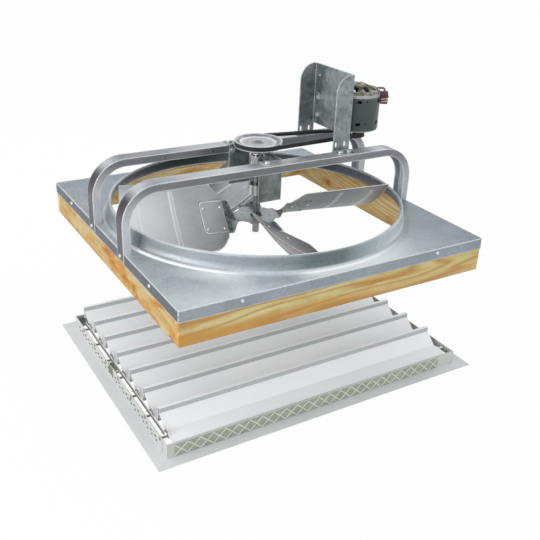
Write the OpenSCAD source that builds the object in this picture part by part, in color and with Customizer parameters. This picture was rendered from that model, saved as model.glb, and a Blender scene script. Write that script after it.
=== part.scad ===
// Belt driven whole house fan on its timber box, with the ceiling shutter that goes under it.
// X runs along the two rails, Y away from the front, Z up. The origin lies under the middle
// of the shutter's trim flange. The fan unit floats over the shutter as in the exploded view.

/* [Fan panel] */
// side of the square sheet metal panel
panel_w = 870; // [600:1:1100]
// thickness of the galvanised sheet
sheet_t = 1.2; // [0.8:0.1:3]
// height of the skirt that is folded down round the panel
skirt_h = 29.5; // [15:0.5:60]
// height of the panel's top above the underside of the shutter
panel_z = 446.5; // [300:0.5:700]
// how far the fan shaft stands to the left of the shutter's middle
fan_off = 26; // [0:0.5:60]
// flat margin from the panel's edge to the foot of the venturi ring
ring_margin = 10; // [6:0.5:100]
// how far the ring's upright wall stands inside its foot
ring_draw = 22; // [8:0.5:40]
// height of the ring's lip above the panel
ring_h = 43; // [20:0.5:80]
// radius of the lip that rolls inward
lip_r = 4.5; // [2.5:0.1:10]

/* [Timber box] */
// thickness of the boards
board_t = 19; // [12:0.5:40]
// height of the boards
board_h = 89; // [60:0.5:200]

/* [Rails] */
// width of a rail
rail_w = 41; // [25:0.5:60]
// depth of a rail
rail_d = 20.5; // [12:0.5:40]
// wall of a rail
rail_t = 2; // [1.2:0.1:4]
// distance of a rail's middle from the fan shaft
rail_y = 104.5; // [80:0.5:160]
// height of a rail's top above the panel
rail_top = 165; // [120:0.5:240]
// outer radius of a rail's bends
rail_bend = 95; // [50:0.5:130]
// length of the tab that laps the skirt
rail_tab = 23; // [16:0.5:28]

/* [Bearing bracket] */
// wall of the bearing bracket
brk_t = 2.5; // [1.5:0.1:5]
// distance from the shaft to the outer face of the bracket's web
brk_web_x = 26; // [22:0.5:45]
// distance from the shaft to the open edge of the bracket
brk_edge_x = 44; // [30:0.5:70]
// height of the bracket's lower edge above the panel
brk_bottom = 53; // [48:0.5:60]
// width of the ears that lie on the rails
ear_w = 24; // [18:0.5:40]
// reach of the ears over the rails
ear_l = 36; // [28:0.5:40]

/* [Shaft and bearings] */
// radius of the fan shaft
shaft_r = 9.5; // [8:0.1:12]
// height of the shaft's top end above the panel
shaft_top = 194; // [185:0.5:230]
// depth of the shaft's lower end below the panel
shaft_low = 67; // [30:0.5:90]
// height of the upper bearing above the panel
bear_hi = 145; // [120:0.5:150]
// height of the lower bearing above the panel
bear_lo = 62; // [58:0.5:90]
// outer radius of a bearing's ball race
race_r = 19; // [17:0.1:24]
// radius of the ball circle
ball_ring_r = 14.4; // [13:0.1:18]
// radius of a ball
ball_r = 3.2; // [2:0.1:4]
// number of balls in a bearing
ball_n = 9; // [6:1:10]

/* [Fan] */
// gap from the blade tips to the ring's lip
tip_gap = 20; // [6:0.5:80]
// distance of a blade's root from the shaft
root_u = 93; // [60:0.5:140]
// chord of a blade in plan
blade_w = 210; // [120:1:260]
// thickness of the blade sheet
blade_t = 1.6; // [1:0.1:3]
// height of a blade on its own axis, below the panel
blade_drop = 2.7; // [0:0.1:20]
// rise of a blade across its chord, for each unit
blade_slope_share = 0.778; // [0.3:0.001:1]
// extra rise of a blade one camber span away from its axis
blade_camber = 22.39; // [0:0.01:40]
// distance that the camber is stated for
camber_span = 100; // [60:1:140]
// turn of the rotor, clockwise from above
rotor_turn = 11.5; // [0:0.5:45]
// thickness of the spider that carries the blades
spider_t = 2.6; // [2:0.1:5]
// radius of the hub's collar
hub_r = 12.4; // [11.5:0.1:20]

/* [Belt drive] */
// height of the belt's middle above the panel
belt_z = 190; // [175:0.5:215]
// pitch radius of the pulley on the fan shaft
pitch_fan = 60; // [40:0.5:90]
// pitch radius of the pulley on the motor
pitch_motor = 26; // [20:0.5:40]
// width of the belt's back
belt_w = 11; // [8:0.1:17]
// thickness of the belt
belt_t = 7.7; // [5:0.1:11]
// wall of a pulley's rim beside the groove
rim_t = 1.8; // [1:0.1:4]

/* [Motor] */
// distance of the motor shaft from the fan shaft, along the rails
motor_x = 303; // [260:0.5:340]
// sideways place of the motor shaft, toward the front
motor_front = 20; // [0:0.5:30]
// radius of the motor's shell
motor_r = 64; // [50:0.5:80]
// height of the shell's lower edge above the panel
shell_lo = 210; // [205:0.5:240]
// height of the shell's upper edge above the panel
shell_hi = 300; // [280:0.5:340]
// wall of the shell
shell_t = 2; // [1:0.1:4]
// height of the top bell above the shell
bell_h = 30; // [25:0.5:50]
// radius of the motor shaft
mshaft_r = 6.35; // [5:0.05:10]

/* [Motor bracket] */
// wall of the motor bracket
mbr_t = 3; // [2:0.1:6]
// distance from the fan shaft to the bracket's open edge
mbr_edge_x = 183; // [160:0.5:200]
// distance from the fan shaft to the face the motor bolts on
mbr_web_x = 236; // [215:0.5:260]
// distance from the bracket's middle to its outer sides
mbr_side_y = 90; // [84:0.5:110]
// height of the bracket's top above the panel
mbr_top = 371; // [330:0.5:420]
// height of the web's lower edge above the panel
mbr_web_z = 201; // [198:0.5:215]
// radius of the bracket's upper corners
mbr_corner = 45; // [20:0.5:50]

/* [Shutter] */
// length of the trim flange, along the louvers
trim_w = 996; // [600:1:1300]
// depth of the trim flange in front of the fan shaft
trim_front = 392; // [300:1:500]
// depth of the trim flange behind the fan shaft
trim_back = 375; // [300:1:500]
// width of the flange at the left
trim_l = 35; // [20:0.5:60]
// width of the flange at the right
trim_r = 42; // [20:0.5:60]
// width of the flange at the front
trim_f = 30; // [20:0.5:60]
// width of the flange at the back
trim_b = 35; // [20:0.5:60]
// wall of the shutter's frame
frame_t = 1.5; // [1:0.1:3]
// height of the collar above the flange
collar_h = 40; // [25:0.5:80]
// width of the hem along the collar's top
hem_w = 4; // [2:0.1:10]

/* [Louvers] */
// number of louvers
louver_n = 7; // [7:1:7]
// gap from the collar's back to the first louver's lip
back_gap = 30; // [24:0.5:60]
// gap from the collar to a louver's end
end_gap = 20; // [18:0.5:40]
// thickness of the louver sheet
louver_t = 1.3; // [0.8:0.1:2.5]
// rise of the lip above the collar's top
lip_rise = 38; // [20:0.5:60]
// width of the lip's top strip
lip_w = 10; // [6:0.5:16]
// height of the lip's front face
lip_face = 13; // [8:0.5:20]
// run of the steep part
drop_w = 35; // [25:0.5:45]
// depth of the flat part below the collar's top, at the steep part
sill_low = 5.5; // [4:0.1:8]
// depth of the flat part's front edge below the collar's top
edge_low = 4; // [3:0.1:7]
// distance from the lip forward to the pivot
pivot_back = 52; // [45:0.5:60]
// depth of the pivot below the collar's top
pivot_low = 8; // [7:0.1:12]
// radius of a pivot pin
pivot_r = 3; // [2:0.1:5]
// distance from a pivot to its crank pin
crank_r = 14; // [12:0.5:20]
// radius of a crank pin
crank_pin_r = 2.4; // [1.5:0.1:4]
// height of the tie bar
bar_h = 9; // [6:0.5:14]
// thickness of the tie bar
bar_t = 3; // [2:0.1:5]

/* [Return spring] */
// number of curls in the return spring
curl_n = 14; // [6:1:20]
// radius of the spring's curls, to the middle of the wire
curl_r = 2.7; // [2:0.1:4]
// radius of the spring's wire
wire_r = 0.7; // [0.4:0.05:1]

/* [Hidden] */
// fineness of round things
$fn = 72;
// how far every cut runs past the face it leaves
over = 0.8;
// gap between curved faces that lie side by side
fit = 0.3;
// running gap of a pin in its hole
run = 0.2;
// flat part of the ring's foot, which joins the panel
foot_flat = 5;
// drop from the panel's top to the middle of the skirt screws
screw_z = 11;
// distance of the skirt screws from a side's middle
screw_x = 282;
// radius and height of a skirt screw's head
screw_head_r = 5;
screw_head_h = 3;
// radius of a skirt screw's shank
screw_r = 2.1;
// length of a skirt screw's shank
screw_l = 19;
// radius of a corner nail's head
nail_head_r = 3.6;
// thickness of a corner nail's head
nail_head_h = 1.6;
// radius of a corner nail's shank
nail_r = 1.5;
// length of a corner nail's shank
nail_l = 46;
// bolts and nuts with an 8 mm thread
bolt_r = 3.9;
bolt_head_r = 7.5;
bolt_head_h = 5.3;
nut_h = 6.5;
thread_end = 2;
washer_r = 9;
washer_t = 1.6;
// place of the bolts that go sideways through bracket and rail
side_bolt_x = [-34, 10];
side_bolt_z = 151;
// place of the bolts that go down through the ears
ear_bolt_x = -32;
// distance of the bearing bolts from the shaft
bear_bolt_y = 38;
// thickness of a bearing housing's foot
foot_t = 3;
// half of a bearing foot's length
foot_half = 52;
// half of a bearing housing's height
house_half = 13;
// outer radius of a bearing housing
house_r = 23.4;
// half height of a ball race
race_half = 8;
// radius of the race's inner edge
race_in_r = 15.6;
// outer radius of an inner ring
inner_r = 12.8;
// radius of the ball groove
groove_ball_r = 3.5;
// radius of an inner ring's collar
collar_r = 15;
// inner ring's reach away from its collar, and to the collar's end
ring_short = 12;
ring_long = 18;
// height of an inner ring's collar
ring_collar = 9;
// half height and radii of the ball cage
cage_half = 1.6;
cage_in_r = 13.6;
cage_out_r = 14.9;
// radius of a set screw, of its hole, and how far it stands out
set_r = 2.6;
set_out = 1.4;
// hub: length of the collar, flange radius and thickness
hub_l = 8;
hub_flange_r = 16;
hub_flange_t = 3.5;
// depth of the spider's underside below the panel
spider_low = 19;
// radius of the spider's middle
spider_r = 58;
// spider's paddles: inner and outer reach, low and high side
paddle_in = 80;
paddle_out = 158;
paddle_lo = 54;
paddle_hi = 30;
// half width of a spider's arm at the middle plate, and how far its faces lie inside the plate's
arm_half = 34;
arm_step = 0.1;
// place of the rivets along and across a blade
rivet_u = [100.5, 148];
rivet_v = [14, -41];
// a rivet's shank, head radius and head height
rivet_r = 2.4;
rivet_head_r = 5;
rivet_head_h = 2.2;
// width and height of the beads pressed into a blade
bead_w = 9;
bead_h = 2.4;
// places of the beads, along a blade from root to tip
bead_shares = [0.495, 0.829];
// ends of a bead across the chord
bead_end_shares = [-0.5, 0.27];
// outline of a blade: share of its length from the root, share of its chord from the axis
blade_shares = [[0, 0.143], [0, -0.257], [0.012, -0.322], [0.039, -0.376], [0.086, -0.462],
    [0.149, -0.529], [0.25, -0.547], [1.039, -0.633], [1.039, 0.3755], [0.11, 0.319], [0.085, 0.3]];
// steps across a blade's chord
chord_n = 22;
chord_low_share = -0.66;
chord_span_share = 1.08;
// pulley: rim outside the pitch line, groove under it, widths of the groove at rim and floor
rim_over = 5;
groove_under = 6;
groove_top_w = 12;
groove_low_w = 7.8;
// half thickness and radius of the fan pulley's disc
disc_half = 2;
disc_r = 46;
motor_disc_half = 5;
// fan pulley's hub: radius, reach below and above the belt's middle
phub_r = 17;
phub_lo = 13;
phub_hi = 3;
// motor pulley's hub: radius, reach below and above
mhub_r = 14;
mhub_lo = 14;
mhub_hi = 8;
// belt's back outside the pitch line, and the width of its inner face
belt_over = 4;
belt_in_w = 7;
// steps of the belt round each pulley
belt_fan_n = 60;
belt_motor_n = 32;
// motor vents: half width, half height, distance from the shell's edges, round hole, angles
vent_half = 6.5;
vent_h = 4.6;
vent_top = 9;
vent_low = 20.5;
vent_hole_r = 2.4;
vent_n = 6;
vent_step = 360 / vent_n;
vent_turn = 19.5;
// top bell: height of the rim, flat shoulder, hub radius
bell_rim = 3.5;
bell_flat_h = 16;
bell_flat_r = 46;
bell_hub_r = 20;
bell_wall = 3;
// windows of the top bell: number, half width, inner and outer radius
bell_win_n = 8;
bell_win_half = 7.5;
bell_win_in = 24;
bell_win_out = 51;
// bottom bell: depth of its dish and of its bearing boss
dish_h = 4;
boss_h = 8;
boss_r = 17;
// motor bearing radius and height
mbear_r = 13;
mbear_h = 8;
// through bolts: circle, radius, number
through_ring = 58.2;
through_r = 1.9;
through_n = 4;
through_head_r = 4;
through_head_h = 3;
// stator and rotor
stator_margin = 22;
bore_r = 40.3;
rotor_gap = 0.5;
wind_in = 44;
wind_out = 54;
wind_h = 11;
slot_n = 24;
slot_r = 43.5;
slot_w = 2.2;
// cradle between motor and web: heights, half width, thickness, ribs
cradle_lo = 207;
cradle_hi = 293;
cradle_half = 84;
cradle_t = 2.4;
rib_y = 32;
rib_t = 3;
// bolts of the motor: sideways place and heights
mount_y = 62.5;
mount_z = [278, 228];
// hole rows of the web: sideways place, heights and radius
web_hole_y = 67;
web_hole_z = [340, 288, 215];
web_hole_r = 2.6;
// bolts of the bracket's feet, and the feet's reach
foot_bolt_x = [196, 223];
foot_bolt_y = 108;
foot_reach = 124.5;
// upright slots of the bracket's flanges
slot_x = [192, 220];
slot_z = 186;
slot_half_w = 3;
slot_half_h = 7;
// connector and lead wires beside the motor
lead_r = 1.8;
lead_gap = 4.6;
lead_in = 54;
lead_bend = 10.6;
lead_low = 310;
lead_angle = -31;
plug_w = 16;
plug_d = 22;
plug_h = 34;
// the connector's collar: reach past the body, height, and place below the body's top
plug_rim = 1.6;
plug_rim_h = 4;
plug_rim_low = 15;
lead_steps = 12;
lead_sides = 8;
// seal strip on the front of the collar
strip_t = 1;
strip_l = 19;
strip_r = 60;
strip_margin = 2.6;
// corner clips: arm, thickness, height, gap to the flange
clip_arm = 28;
clip_t = 1.5;
clip_h = 24;
clip_z = 8;
// bushings of the pivots
bush_r = 5;
bush_flange_r = 6.6;
bush_flange_t = 1.4;
bush_out = 1;
// how far a pivot pin goes past the collar's outer face
pin_past = 2.4;
// end plates of a louver
plate_t = 1.5;
plate_r = 6.5;
crank_angle = 55;
// gap from a louver's end to the tie bar, and a crank pin's head
bar_gap = 8;
head_gap = 0.4;
crank_head_r = 4;
crank_head_t = 1.5;
bar_past = 9;
// return spring: places of the lug and of the anchor behind the middle pivot
lug_back = 24;
lug_t = 4;
lug_h = 7;
lug_x = 7;
anchor_back = 70;
anchor_t = 2;
anchor_w = 34;
anchor_leg = 24;
anchor_in = 16;
spring_low = -1;
spring_x = 4.9;
// holes of the flange for its screws
trim_hole_r = 2.4;
trim_hole_shares = [-0.34, 0.41];
trim_hole_in = 11;
trim_side_hole = 5;
curl_steps = 8;
wire_sides = 6;

// derived values
half = panel_w / 2;
fan = [-fan_off, 0, panel_z];
box_half = half - sheet_t;
rail_x = half + rail_t;
rail_in = rail_y - rail_w / 2;
web_in = brk_web_x - brk_t;
ring_foot_r = half - ring_margin;
ring_r = ring_foot_r - ring_draw;
fil = ring_foot_r - ring_r;
tip_r = ring_r - 2 * lip_r - tip_gap;
spider_top = spider_t - spider_low;
hub_top = spider_top + hub_flange_t + hub_l;
hub_set_z = hub_top - hub_l / 2;
arm_t = spider_t - 2 * arm_step;
blade_len = tip_r - root_u;
center_d = norm([motor_x, motor_front]);
center_a = atan2(-motor_front, motor_x);
wrap_a = acos((pitch_fan - pitch_motor) / center_d);
rim_half = groove_top_w / 2 + rim_t;
x0 = -trim_w / 2;
x1 = trim_w / 2;
y0 = -trim_front;
y1 = trim_back;
cx0 = x0 + trim_l;
cx1 = x1 - trim_r;
cy0 = y0 + trim_f;
cy1 = y1 - trim_b;
collar_z = frame_t + collar_h;
lx0 = cx0 + frame_t + end_gap;
lx1 = cx1 - frame_t - end_gap;
bar_x1 = lx0 - bar_gap;
bar_x0 = bar_x1 - bar_t;
lip_back = cy1 - back_gap;
louver_pitch = (lip_back - cy0) / louver_n;
louver_front = louver_pitch - lip_w;
crank_dy = crank_r * cos(crank_angle);
crank_dz = crank_r * sin(crank_angle);

steel = [0.66, 0.69, 0.71];
dark_steel = [0.42, 0.44, 0.46];
pine = [0.87, 0.7, 0.42];
zinc = [0.74, 0.75, 0.76];
black = [0.1, 0.1, 0.11];
green = [0.22, 0.25, 0.25];
white = [0.87, 0.87, 0.88];
lip_grey = [0.65, 0.67, 0.67];

// points of an arc in the plane
function arc(c, r, a, b, n) = [for (i = [0 : n]) c + r * [cos(a + (b - a) * i / n), sin(a + (b - a) * i / n)]];
function flip(v) = [for (i = [len(v) - 1 : -1 : 0]) v[i]];
function unit(v) = v / norm(v);
// height of a blade's upper face across its chord
function blade_z(v) = blade_slope_share * v - blade_drop + blade_camber * pow(v / camber_span, 2);
function blade_tilt(v) = atan(blade_slope_share + 2 * blade_camber * v / camber_span / camber_span);
// a path set sideways by a distance, with mitred corners
function left(a, b) = let (d = unit(b - a)) [-d[1], d[0]];
function side_path(p, d) = [for (i = [0 : len(p) - 1]) let (
    n1 = left(p[max(i - 1, 0)], p[max(i, 1)]),
    n2 = left(p[min(i, len(p) - 2)], p[min(i + 1, len(p) - 1)]))
    p[i] + d * (n1 + n2) / (1 + n1 * n2)];
// places of the two louver axes, by number from the back
function lip_y(k) = lip_back - (k - 1) * louver_pitch;
function pivot_y(k) = lip_y(k) - pivot_back;
pivot_z = collar_z - pivot_low;
lug_y = pivot_y((louver_n + 1) / 2) + lug_back;
anchor_y = pivot_y((louver_n + 1) / 2) + anchor_back;

// one unbroken tube along points, with flat ends
function tube_rings(p, s, r, n) = [for (i = [0 : len(p) - 1]) let (
    t = unit(p[min(i + 1, len(p) - 1)] - p[max(i - 1, 0)]),
    a = unit(s[i] - t * (s[i] * t)), b = cross(a, t))
    for (k = [0 : n - 1]) p[i] + r * (a * cos(360 * k / n) + b * sin(360 * k / n))];
function tube_faces(m, n) = concat(
    [[for (k = [0 : n - 1]) k]],
    [for (i = [0 : m - 2]) for (k = [0 : n - 1]) let (j = (k + 1) % n)
        each [[i * n + k, (i + 1) * n + k, (i + 1) * n + j], [i * n + k, (i + 1) * n + j, i * n + j]]],
    [[for (k = [n - 1 : -1 : 0]) (m - 1) * n + k]]);
module tube(p, s, r, n) polyhedron(points = tube_rings(p, s, r, n), faces = [for (f = tube_faces(len(p), n)) flip(f)]);

module at_fan() translate(fan) children();
module at_motor() translate(fan) translate([motor_x, -motor_front, 0]) children();
module both_sides() {
    children();
    mirror([0, 1, 0]) children();
}

// bolts stand on the plane z = 0 with their head up and clamp what lies below
module bolt(grip) {
    cylinder(r = bolt_head_r, h = bolt_head_h, $fn = 6);
    translate([0, 0, -grip - nut_h - thread_end]) cylinder(r = bolt_r, h = grip + nut_h + thread_end + over);
}
module nut(grip) translate([0, 0, -grip - nut_h]) difference() {
    cylinder(r = bolt_head_r, h = nut_h, $fn = 6);
    translate([0, 0, -over]) cylinder(r = bolt_r + fit, h = nut_h + 2 * over);
}
module hole(depth) translate([0, 0, -depth - over]) cylinder(r = bolt_r + fit, h = depth + 2 * over);

// where each group of bolts stands
module side_bolts() for (x = side_bolt_x) both_sides()
    translate([x, rail_in - brk_t, side_bolt_z]) rotate([90, 0, 0]) children();
module ear_bolts() both_sides() translate([ear_bolt_x, rail_y, rail_top + brk_t]) children();
module foot_bolts() for (x = foot_bolt_x) both_sides() translate([x, foot_bolt_y, rail_top + mbr_t]) children();
module bearing_places() for (z = [bear_hi, bear_lo]) for (s = [-1, 1])
    translate([web_in - foot_t, s * bear_bolt_y, z]) rotate([0, -90, 0]) children();
module mount_places() for (z = mount_z) for (s = [-1, 1])
    translate([mbr_web_x + cradle_t, s * mount_y, z]) rotate([0, 90, 0]) children();

// timber box
module skirt_places() {
    for (s = [-1, 1]) for (x = [-screw_x, screw_x]) {
        translate([x, s * half, -screw_z]) rotate([-90 * s, 0, 0]) children();
        translate([s * half, x, -screw_z]) rotate([0, 90 * s, 0]) children();
    }
}
module foot_screw_places() for (s = [-1, 1]) for (y = [-rail_y, rail_y])
    translate([s * rail_x, y, -screw_z]) rotate([0, 90 * s, 0]) children();
module nail_places() for (sx = [-1, 1]) for (sy = [-1, 1])
    translate([sx * (box_half - board_t / 2), sy * box_half, -screw_z * 2]) rotate([-90 * sy, 0, 0]) children();
module screw_hole() translate([0, 0, -screw_l - fit]) cylinder(r = screw_r + fit, h = screw_l + fit + over, $fn = 24);
module nail_hole() {
    translate([0, 0, -nail_l - over]) cylinder(r = nail_r + fit, h = nail_l + over);
    translate([0, 0, -nail_head_h]) cylinder(r = nail_head_r + fit, h = nail_head_h + over);
}
module board(long, run_y) at_fan() color(pine) difference() {
    translate([-(run_y ? board_t : long) / 2, -(run_y ? long : board_t) / 2, 0])
        translate(run_y ? [box_half - board_t / 2, 0, -sheet_t - board_h] : [0, box_half - board_t / 2, -sheet_t - board_h])
            cube([run_y ? board_t : long, run_y ? long : board_t, board_h]);
    skirt_places() screw_hole();
    foot_screw_places() screw_hole();
    nail_places() nail_hole();
}
module board_back() board(2 * box_half, false);
module board_front() mirror([0, 1, 0]) board(2 * box_half, false);
module board_right() board(2 * (box_half - board_t), true);
module board_left() translate([-2 * fan_off, 0, 0]) mirror([1, 0, 0]) board(2 * (box_half - board_t), true);
module corner_nails() at_fan() color(zinc) nail_places() {
    translate([0, 0, -nail_head_h]) cylinder(r = nail_head_r, h = nail_head_h);
    translate([0, 0, -nail_l]) cylinder(r = nail_r, h = nail_l);
}

// panel with its skirt and the ring that is drawn up from it
module ring_profile() polygon(concat(
    [[ring_foot_r + foot_flat, 0]],
    arc([ring_foot_r, fil], fil, -90, -180, 10),
    arc([ring_r - lip_r, ring_h - lip_r], lip_r, 0, 180, 10),
    arc([ring_r - lip_r, ring_h - lip_r], lip_r - sheet_t, 180, 0, 10),
    arc([ring_foot_r, fil], fil + sheet_t, -180, -90, 10),
    [[ring_foot_r + foot_flat, -sheet_t]]));
module venturi_panel() at_fan() color(steel) difference() {
    union() {
        difference() {
            translate([-half, -half, -skirt_h]) cube([panel_w, panel_w, skirt_h]);
            translate([-box_half, -box_half, -skirt_h - over]) cube([2 * box_half, 2 * box_half, skirt_h - sheet_t + over]);
            translate([0, 0, -skirt_h]) cylinder(r = ring_foot_r + foot_flat / 2, h = skirt_h + over, $fn = 180);
        }
        rotate_extrude($fn = 180) ring_profile();
    }
    skirt_places() screw_hole();
    foot_screw_places() screw_hole();
}
module screw() {
    cylinder(r1 = screw_head_r, r2 = screw_head_r - screw_head_h / 3, h = screw_head_h, $fn = 24);
    translate([0, 0, -screw_l]) cylinder(r = screw_r, h = screw_l + over, $fn = 24);
}
module skirt_screws() at_fan() color(zinc) {
    skirt_places() screw();
    foot_screw_places() screw();
}

// rails, bent from a channel
module channel() difference() {
    translate([-rail_w / 2, -rail_d]) square([rail_w, rail_d]);
    translate([rail_t - rail_w / 2, -rail_d - over]) square([rail_w - 2 * rail_t, rail_d - rail_t + over]);
}
module rail_half() {
    translate([-over, 0, rail_top]) rotate([90, 0, 90]) linear_extrude(rail_x - rail_bend + over) channel();
    translate([rail_x - rail_bend, 0, rail_top - rail_bend]) rotate([90, 0, 0])
        rotate_extrude(angle = 90, $fn = 96) translate([rail_bend, 0]) rotate(-90) channel();
    translate([rail_x, 0, 0]) rotate([0, 0, -90]) linear_extrude(rail_top - rail_bend) channel();
    translate([rail_x - rail_t, -rail_w / 2, -rail_tab]) cube([rail_t, rail_w, rail_tab + over]);
}
module rail(s) at_fan() color(steel) difference() {
    translate([0, s * rail_y, 0]) {
        rail_half();
        mirror([1, 0, 0]) rail_half();
    }
    side_bolts() hole(brk_t + rail_t);
    ear_bolts() hole(brk_t + rail_t);
    foot_bolts() hole(mbr_t + rail_t);
    foot_screw_places() screw_hole();
}
module rail_front() rail(-1);
module rail_back() rail(1);

// bearing bracket between the rails
module bearing_bracket() at_fan() color(steel) difference() {
    union() {
        translate([web_in, -rail_in, brk_bottom]) cube([brk_t, 2 * rail_in, rail_top - brk_bottom]);
        both_sides() {
            translate([-brk_edge_x, rail_in - brk_t, brk_bottom]) cube([brk_edge_x + brk_web_x, brk_t, rail_top - brk_bottom]);
            translate([-brk_edge_x, rail_in - brk_t, rail_top - over]) cube([ear_w, brk_t, brk_t + over]);
            translate([-brk_edge_x, rail_in - over, rail_top]) cube([ear_w, ear_l + over, brk_t]);
        }
    }
    side_bolts() hole(brk_t + rail_t);
    ear_bolts() hole(brk_t + rail_t);
    bearing_places() hole(foot_t + brk_t);
}
module bracket_bolts() at_fan() color(zinc) {
    side_bolts() bolt(brk_t + rail_t);
    ear_bolts() bolt(brk_t + rail_t);
    foot_bolts() bolt(mbr_t + rail_t);
}
module hex_nuts() at_fan() color(zinc) {
    side_bolts() nut(brk_t + rail_t);
    ear_bolts() nut(brk_t + rail_t);
    foot_bolts() nut(mbr_t + rail_t);
    bearing_places() nut(foot_t + brk_t);
    mount_places() nut(cradle_t + mbr_t);
}

// bearings of the fan shaft
module bearing_housings() at_fan() color(zinc) difference() {
    for (z = [bear_hi, bear_lo]) translate([0, 0, z - house_half]) {
        cylinder(r = house_r, h = 2 * house_half);
        translate([0, -house_r, 0]) cube([web_in, 2 * house_r, 2 * house_half]);
        translate([web_in - foot_t, -foot_half, 0]) cube([foot_t, 2 * foot_half, 2 * house_half]);
    }
    for (z = [bear_hi, bear_lo]) translate([0, 0, z - house_half - over]) cylinder(r = race_r + fit, h = 2 * (house_half + over));
    bearing_places() hole(foot_t);
}
module ball_groove() rotate_extrude() translate([ball_ring_r, 0]) circle(r = groove_ball_r, $fn = 32);
module bearing_races() at_fan() color(zinc) for (z = [bear_hi, bear_lo]) translate([0, 0, z]) difference() {
    translate([0, 0, -race_half]) cylinder(r = race_r, h = 2 * race_half);
    translate([0, 0, -race_half - over]) cylinder(r = race_in_r, h = 2 * (race_half + over));
    ball_groove();
}
module bearing_balls() at_fan() color(dark_steel) for (z = [bear_hi, bear_lo]) translate([0, 0, z]) {
    difference() {
        translate([0, 0, -cage_half]) cylinder(r = cage_out_r, h = 2 * cage_half);
        translate([0, 0, -cage_half - over]) cylinder(r = cage_in_r, h = 2 * (cage_half + over));
    }
    for (i = [0 : ball_n - 1]) rotate(360 * i / ball_n) translate([ball_ring_r, 0, 0]) sphere(r = ball_r, $fn = 32);
}
module bearing_inner_rings() at_fan() color(zinc) for (s = [1, -1]) translate([0, 0, s > 0 ? bear_hi : bear_lo]) mirror([0, 0, (1 - s) / 2]) difference() {
    union() {
        translate([0, 0, -ring_short]) cylinder(r = inner_r, h = ring_short + ring_long);
        translate([0, 0, ring_long - ring_collar]) cylinder(r = collar_r, h = ring_collar);
    }
    translate([0, 0, -ring_short - over]) cylinder(r = shaft_r + run, h = ring_short + ring_long + 2 * over);
    ball_groove();
    translate([0, 0, ring_long - ring_collar / 2]) set_place() set_hole();
}
module bearing_bolts() at_fan() color(zinc) bearing_places() bolt(foot_t + brk_t);

// shaft, pulley and hub
module set_place() rotate(-120) rotate([0, 90, 0]) children();
module set_hole() cylinder(r = set_r + run, h = hub_flange_r + phub_r);
module set_screw(r) translate([0, 0, shaft_r + run]) cylinder(r = set_r, h = r - shaft_r + set_out, $fn = 24);
module fan_shaft() at_fan() color(dark_steel) {
    translate([0, 0, -shaft_low]) cylinder(r = shaft_r, h = shaft_low + shaft_top);
}
module pulley_profile(pitch, bore, hr, lo, hi, disc, dh) polygon([
    [bore, -lo], [hr, -lo], [hr, -dh], [disc, -dh], [pitch + rim_over - rim_t, -rim_half],
    [pitch + rim_over, -rim_half], [pitch + rim_over, -groove_top_w / 2], [pitch - groove_under, -groove_low_w / 2],
    [pitch - groove_under, groove_low_w / 2], [pitch + rim_over, groove_top_w / 2], [pitch + rim_over, rim_half],
    [pitch + rim_over - rim_t, rim_half], [disc, dh], [hr, dh], [hr, hi], [bore, hi]]);
module fan_pulley() at_fan() translate([0, 0, belt_z]) color(steel) difference() {
    rotate_extrude($fn = 96) pulley_profile(pitch_fan, shaft_r + run, phub_r, phub_lo, phub_hi, disc_r, disc_half);
    translate([0, 0, -phub_lo / 2 - disc_half]) set_place() set_hole();
}
module fan_hub() at_fan() color(dark_steel) difference() {
    union() {
        translate([0, 0, spider_top]) cylinder(r = hub_flange_r, h = hub_flange_t);
        translate([0, 0, spider_top]) cylinder(r = hub_r, h = hub_top - spider_top);
    }
    translate([0, 0, spider_top - over]) cylinder(r = shaft_r + run, h = hub_top - spider_top + 2 * over);
    translate([0, 0, hub_set_z]) set_place() set_hole();
}
module set_screws() at_fan() color(black) {
    translate([0, 0, bear_hi + ring_long - ring_collar / 2]) set_place() set_screw(collar_r);
    translate([0, 0, bear_lo - ring_long + ring_collar / 2]) set_place() set_screw(collar_r);
    translate([0, 0, belt_z - phub_lo / 2 - disc_half]) set_place() set_screw(phub_r);
    translate([0, 0, hub_set_z]) set_place() set_screw(hub_r);
}

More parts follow.
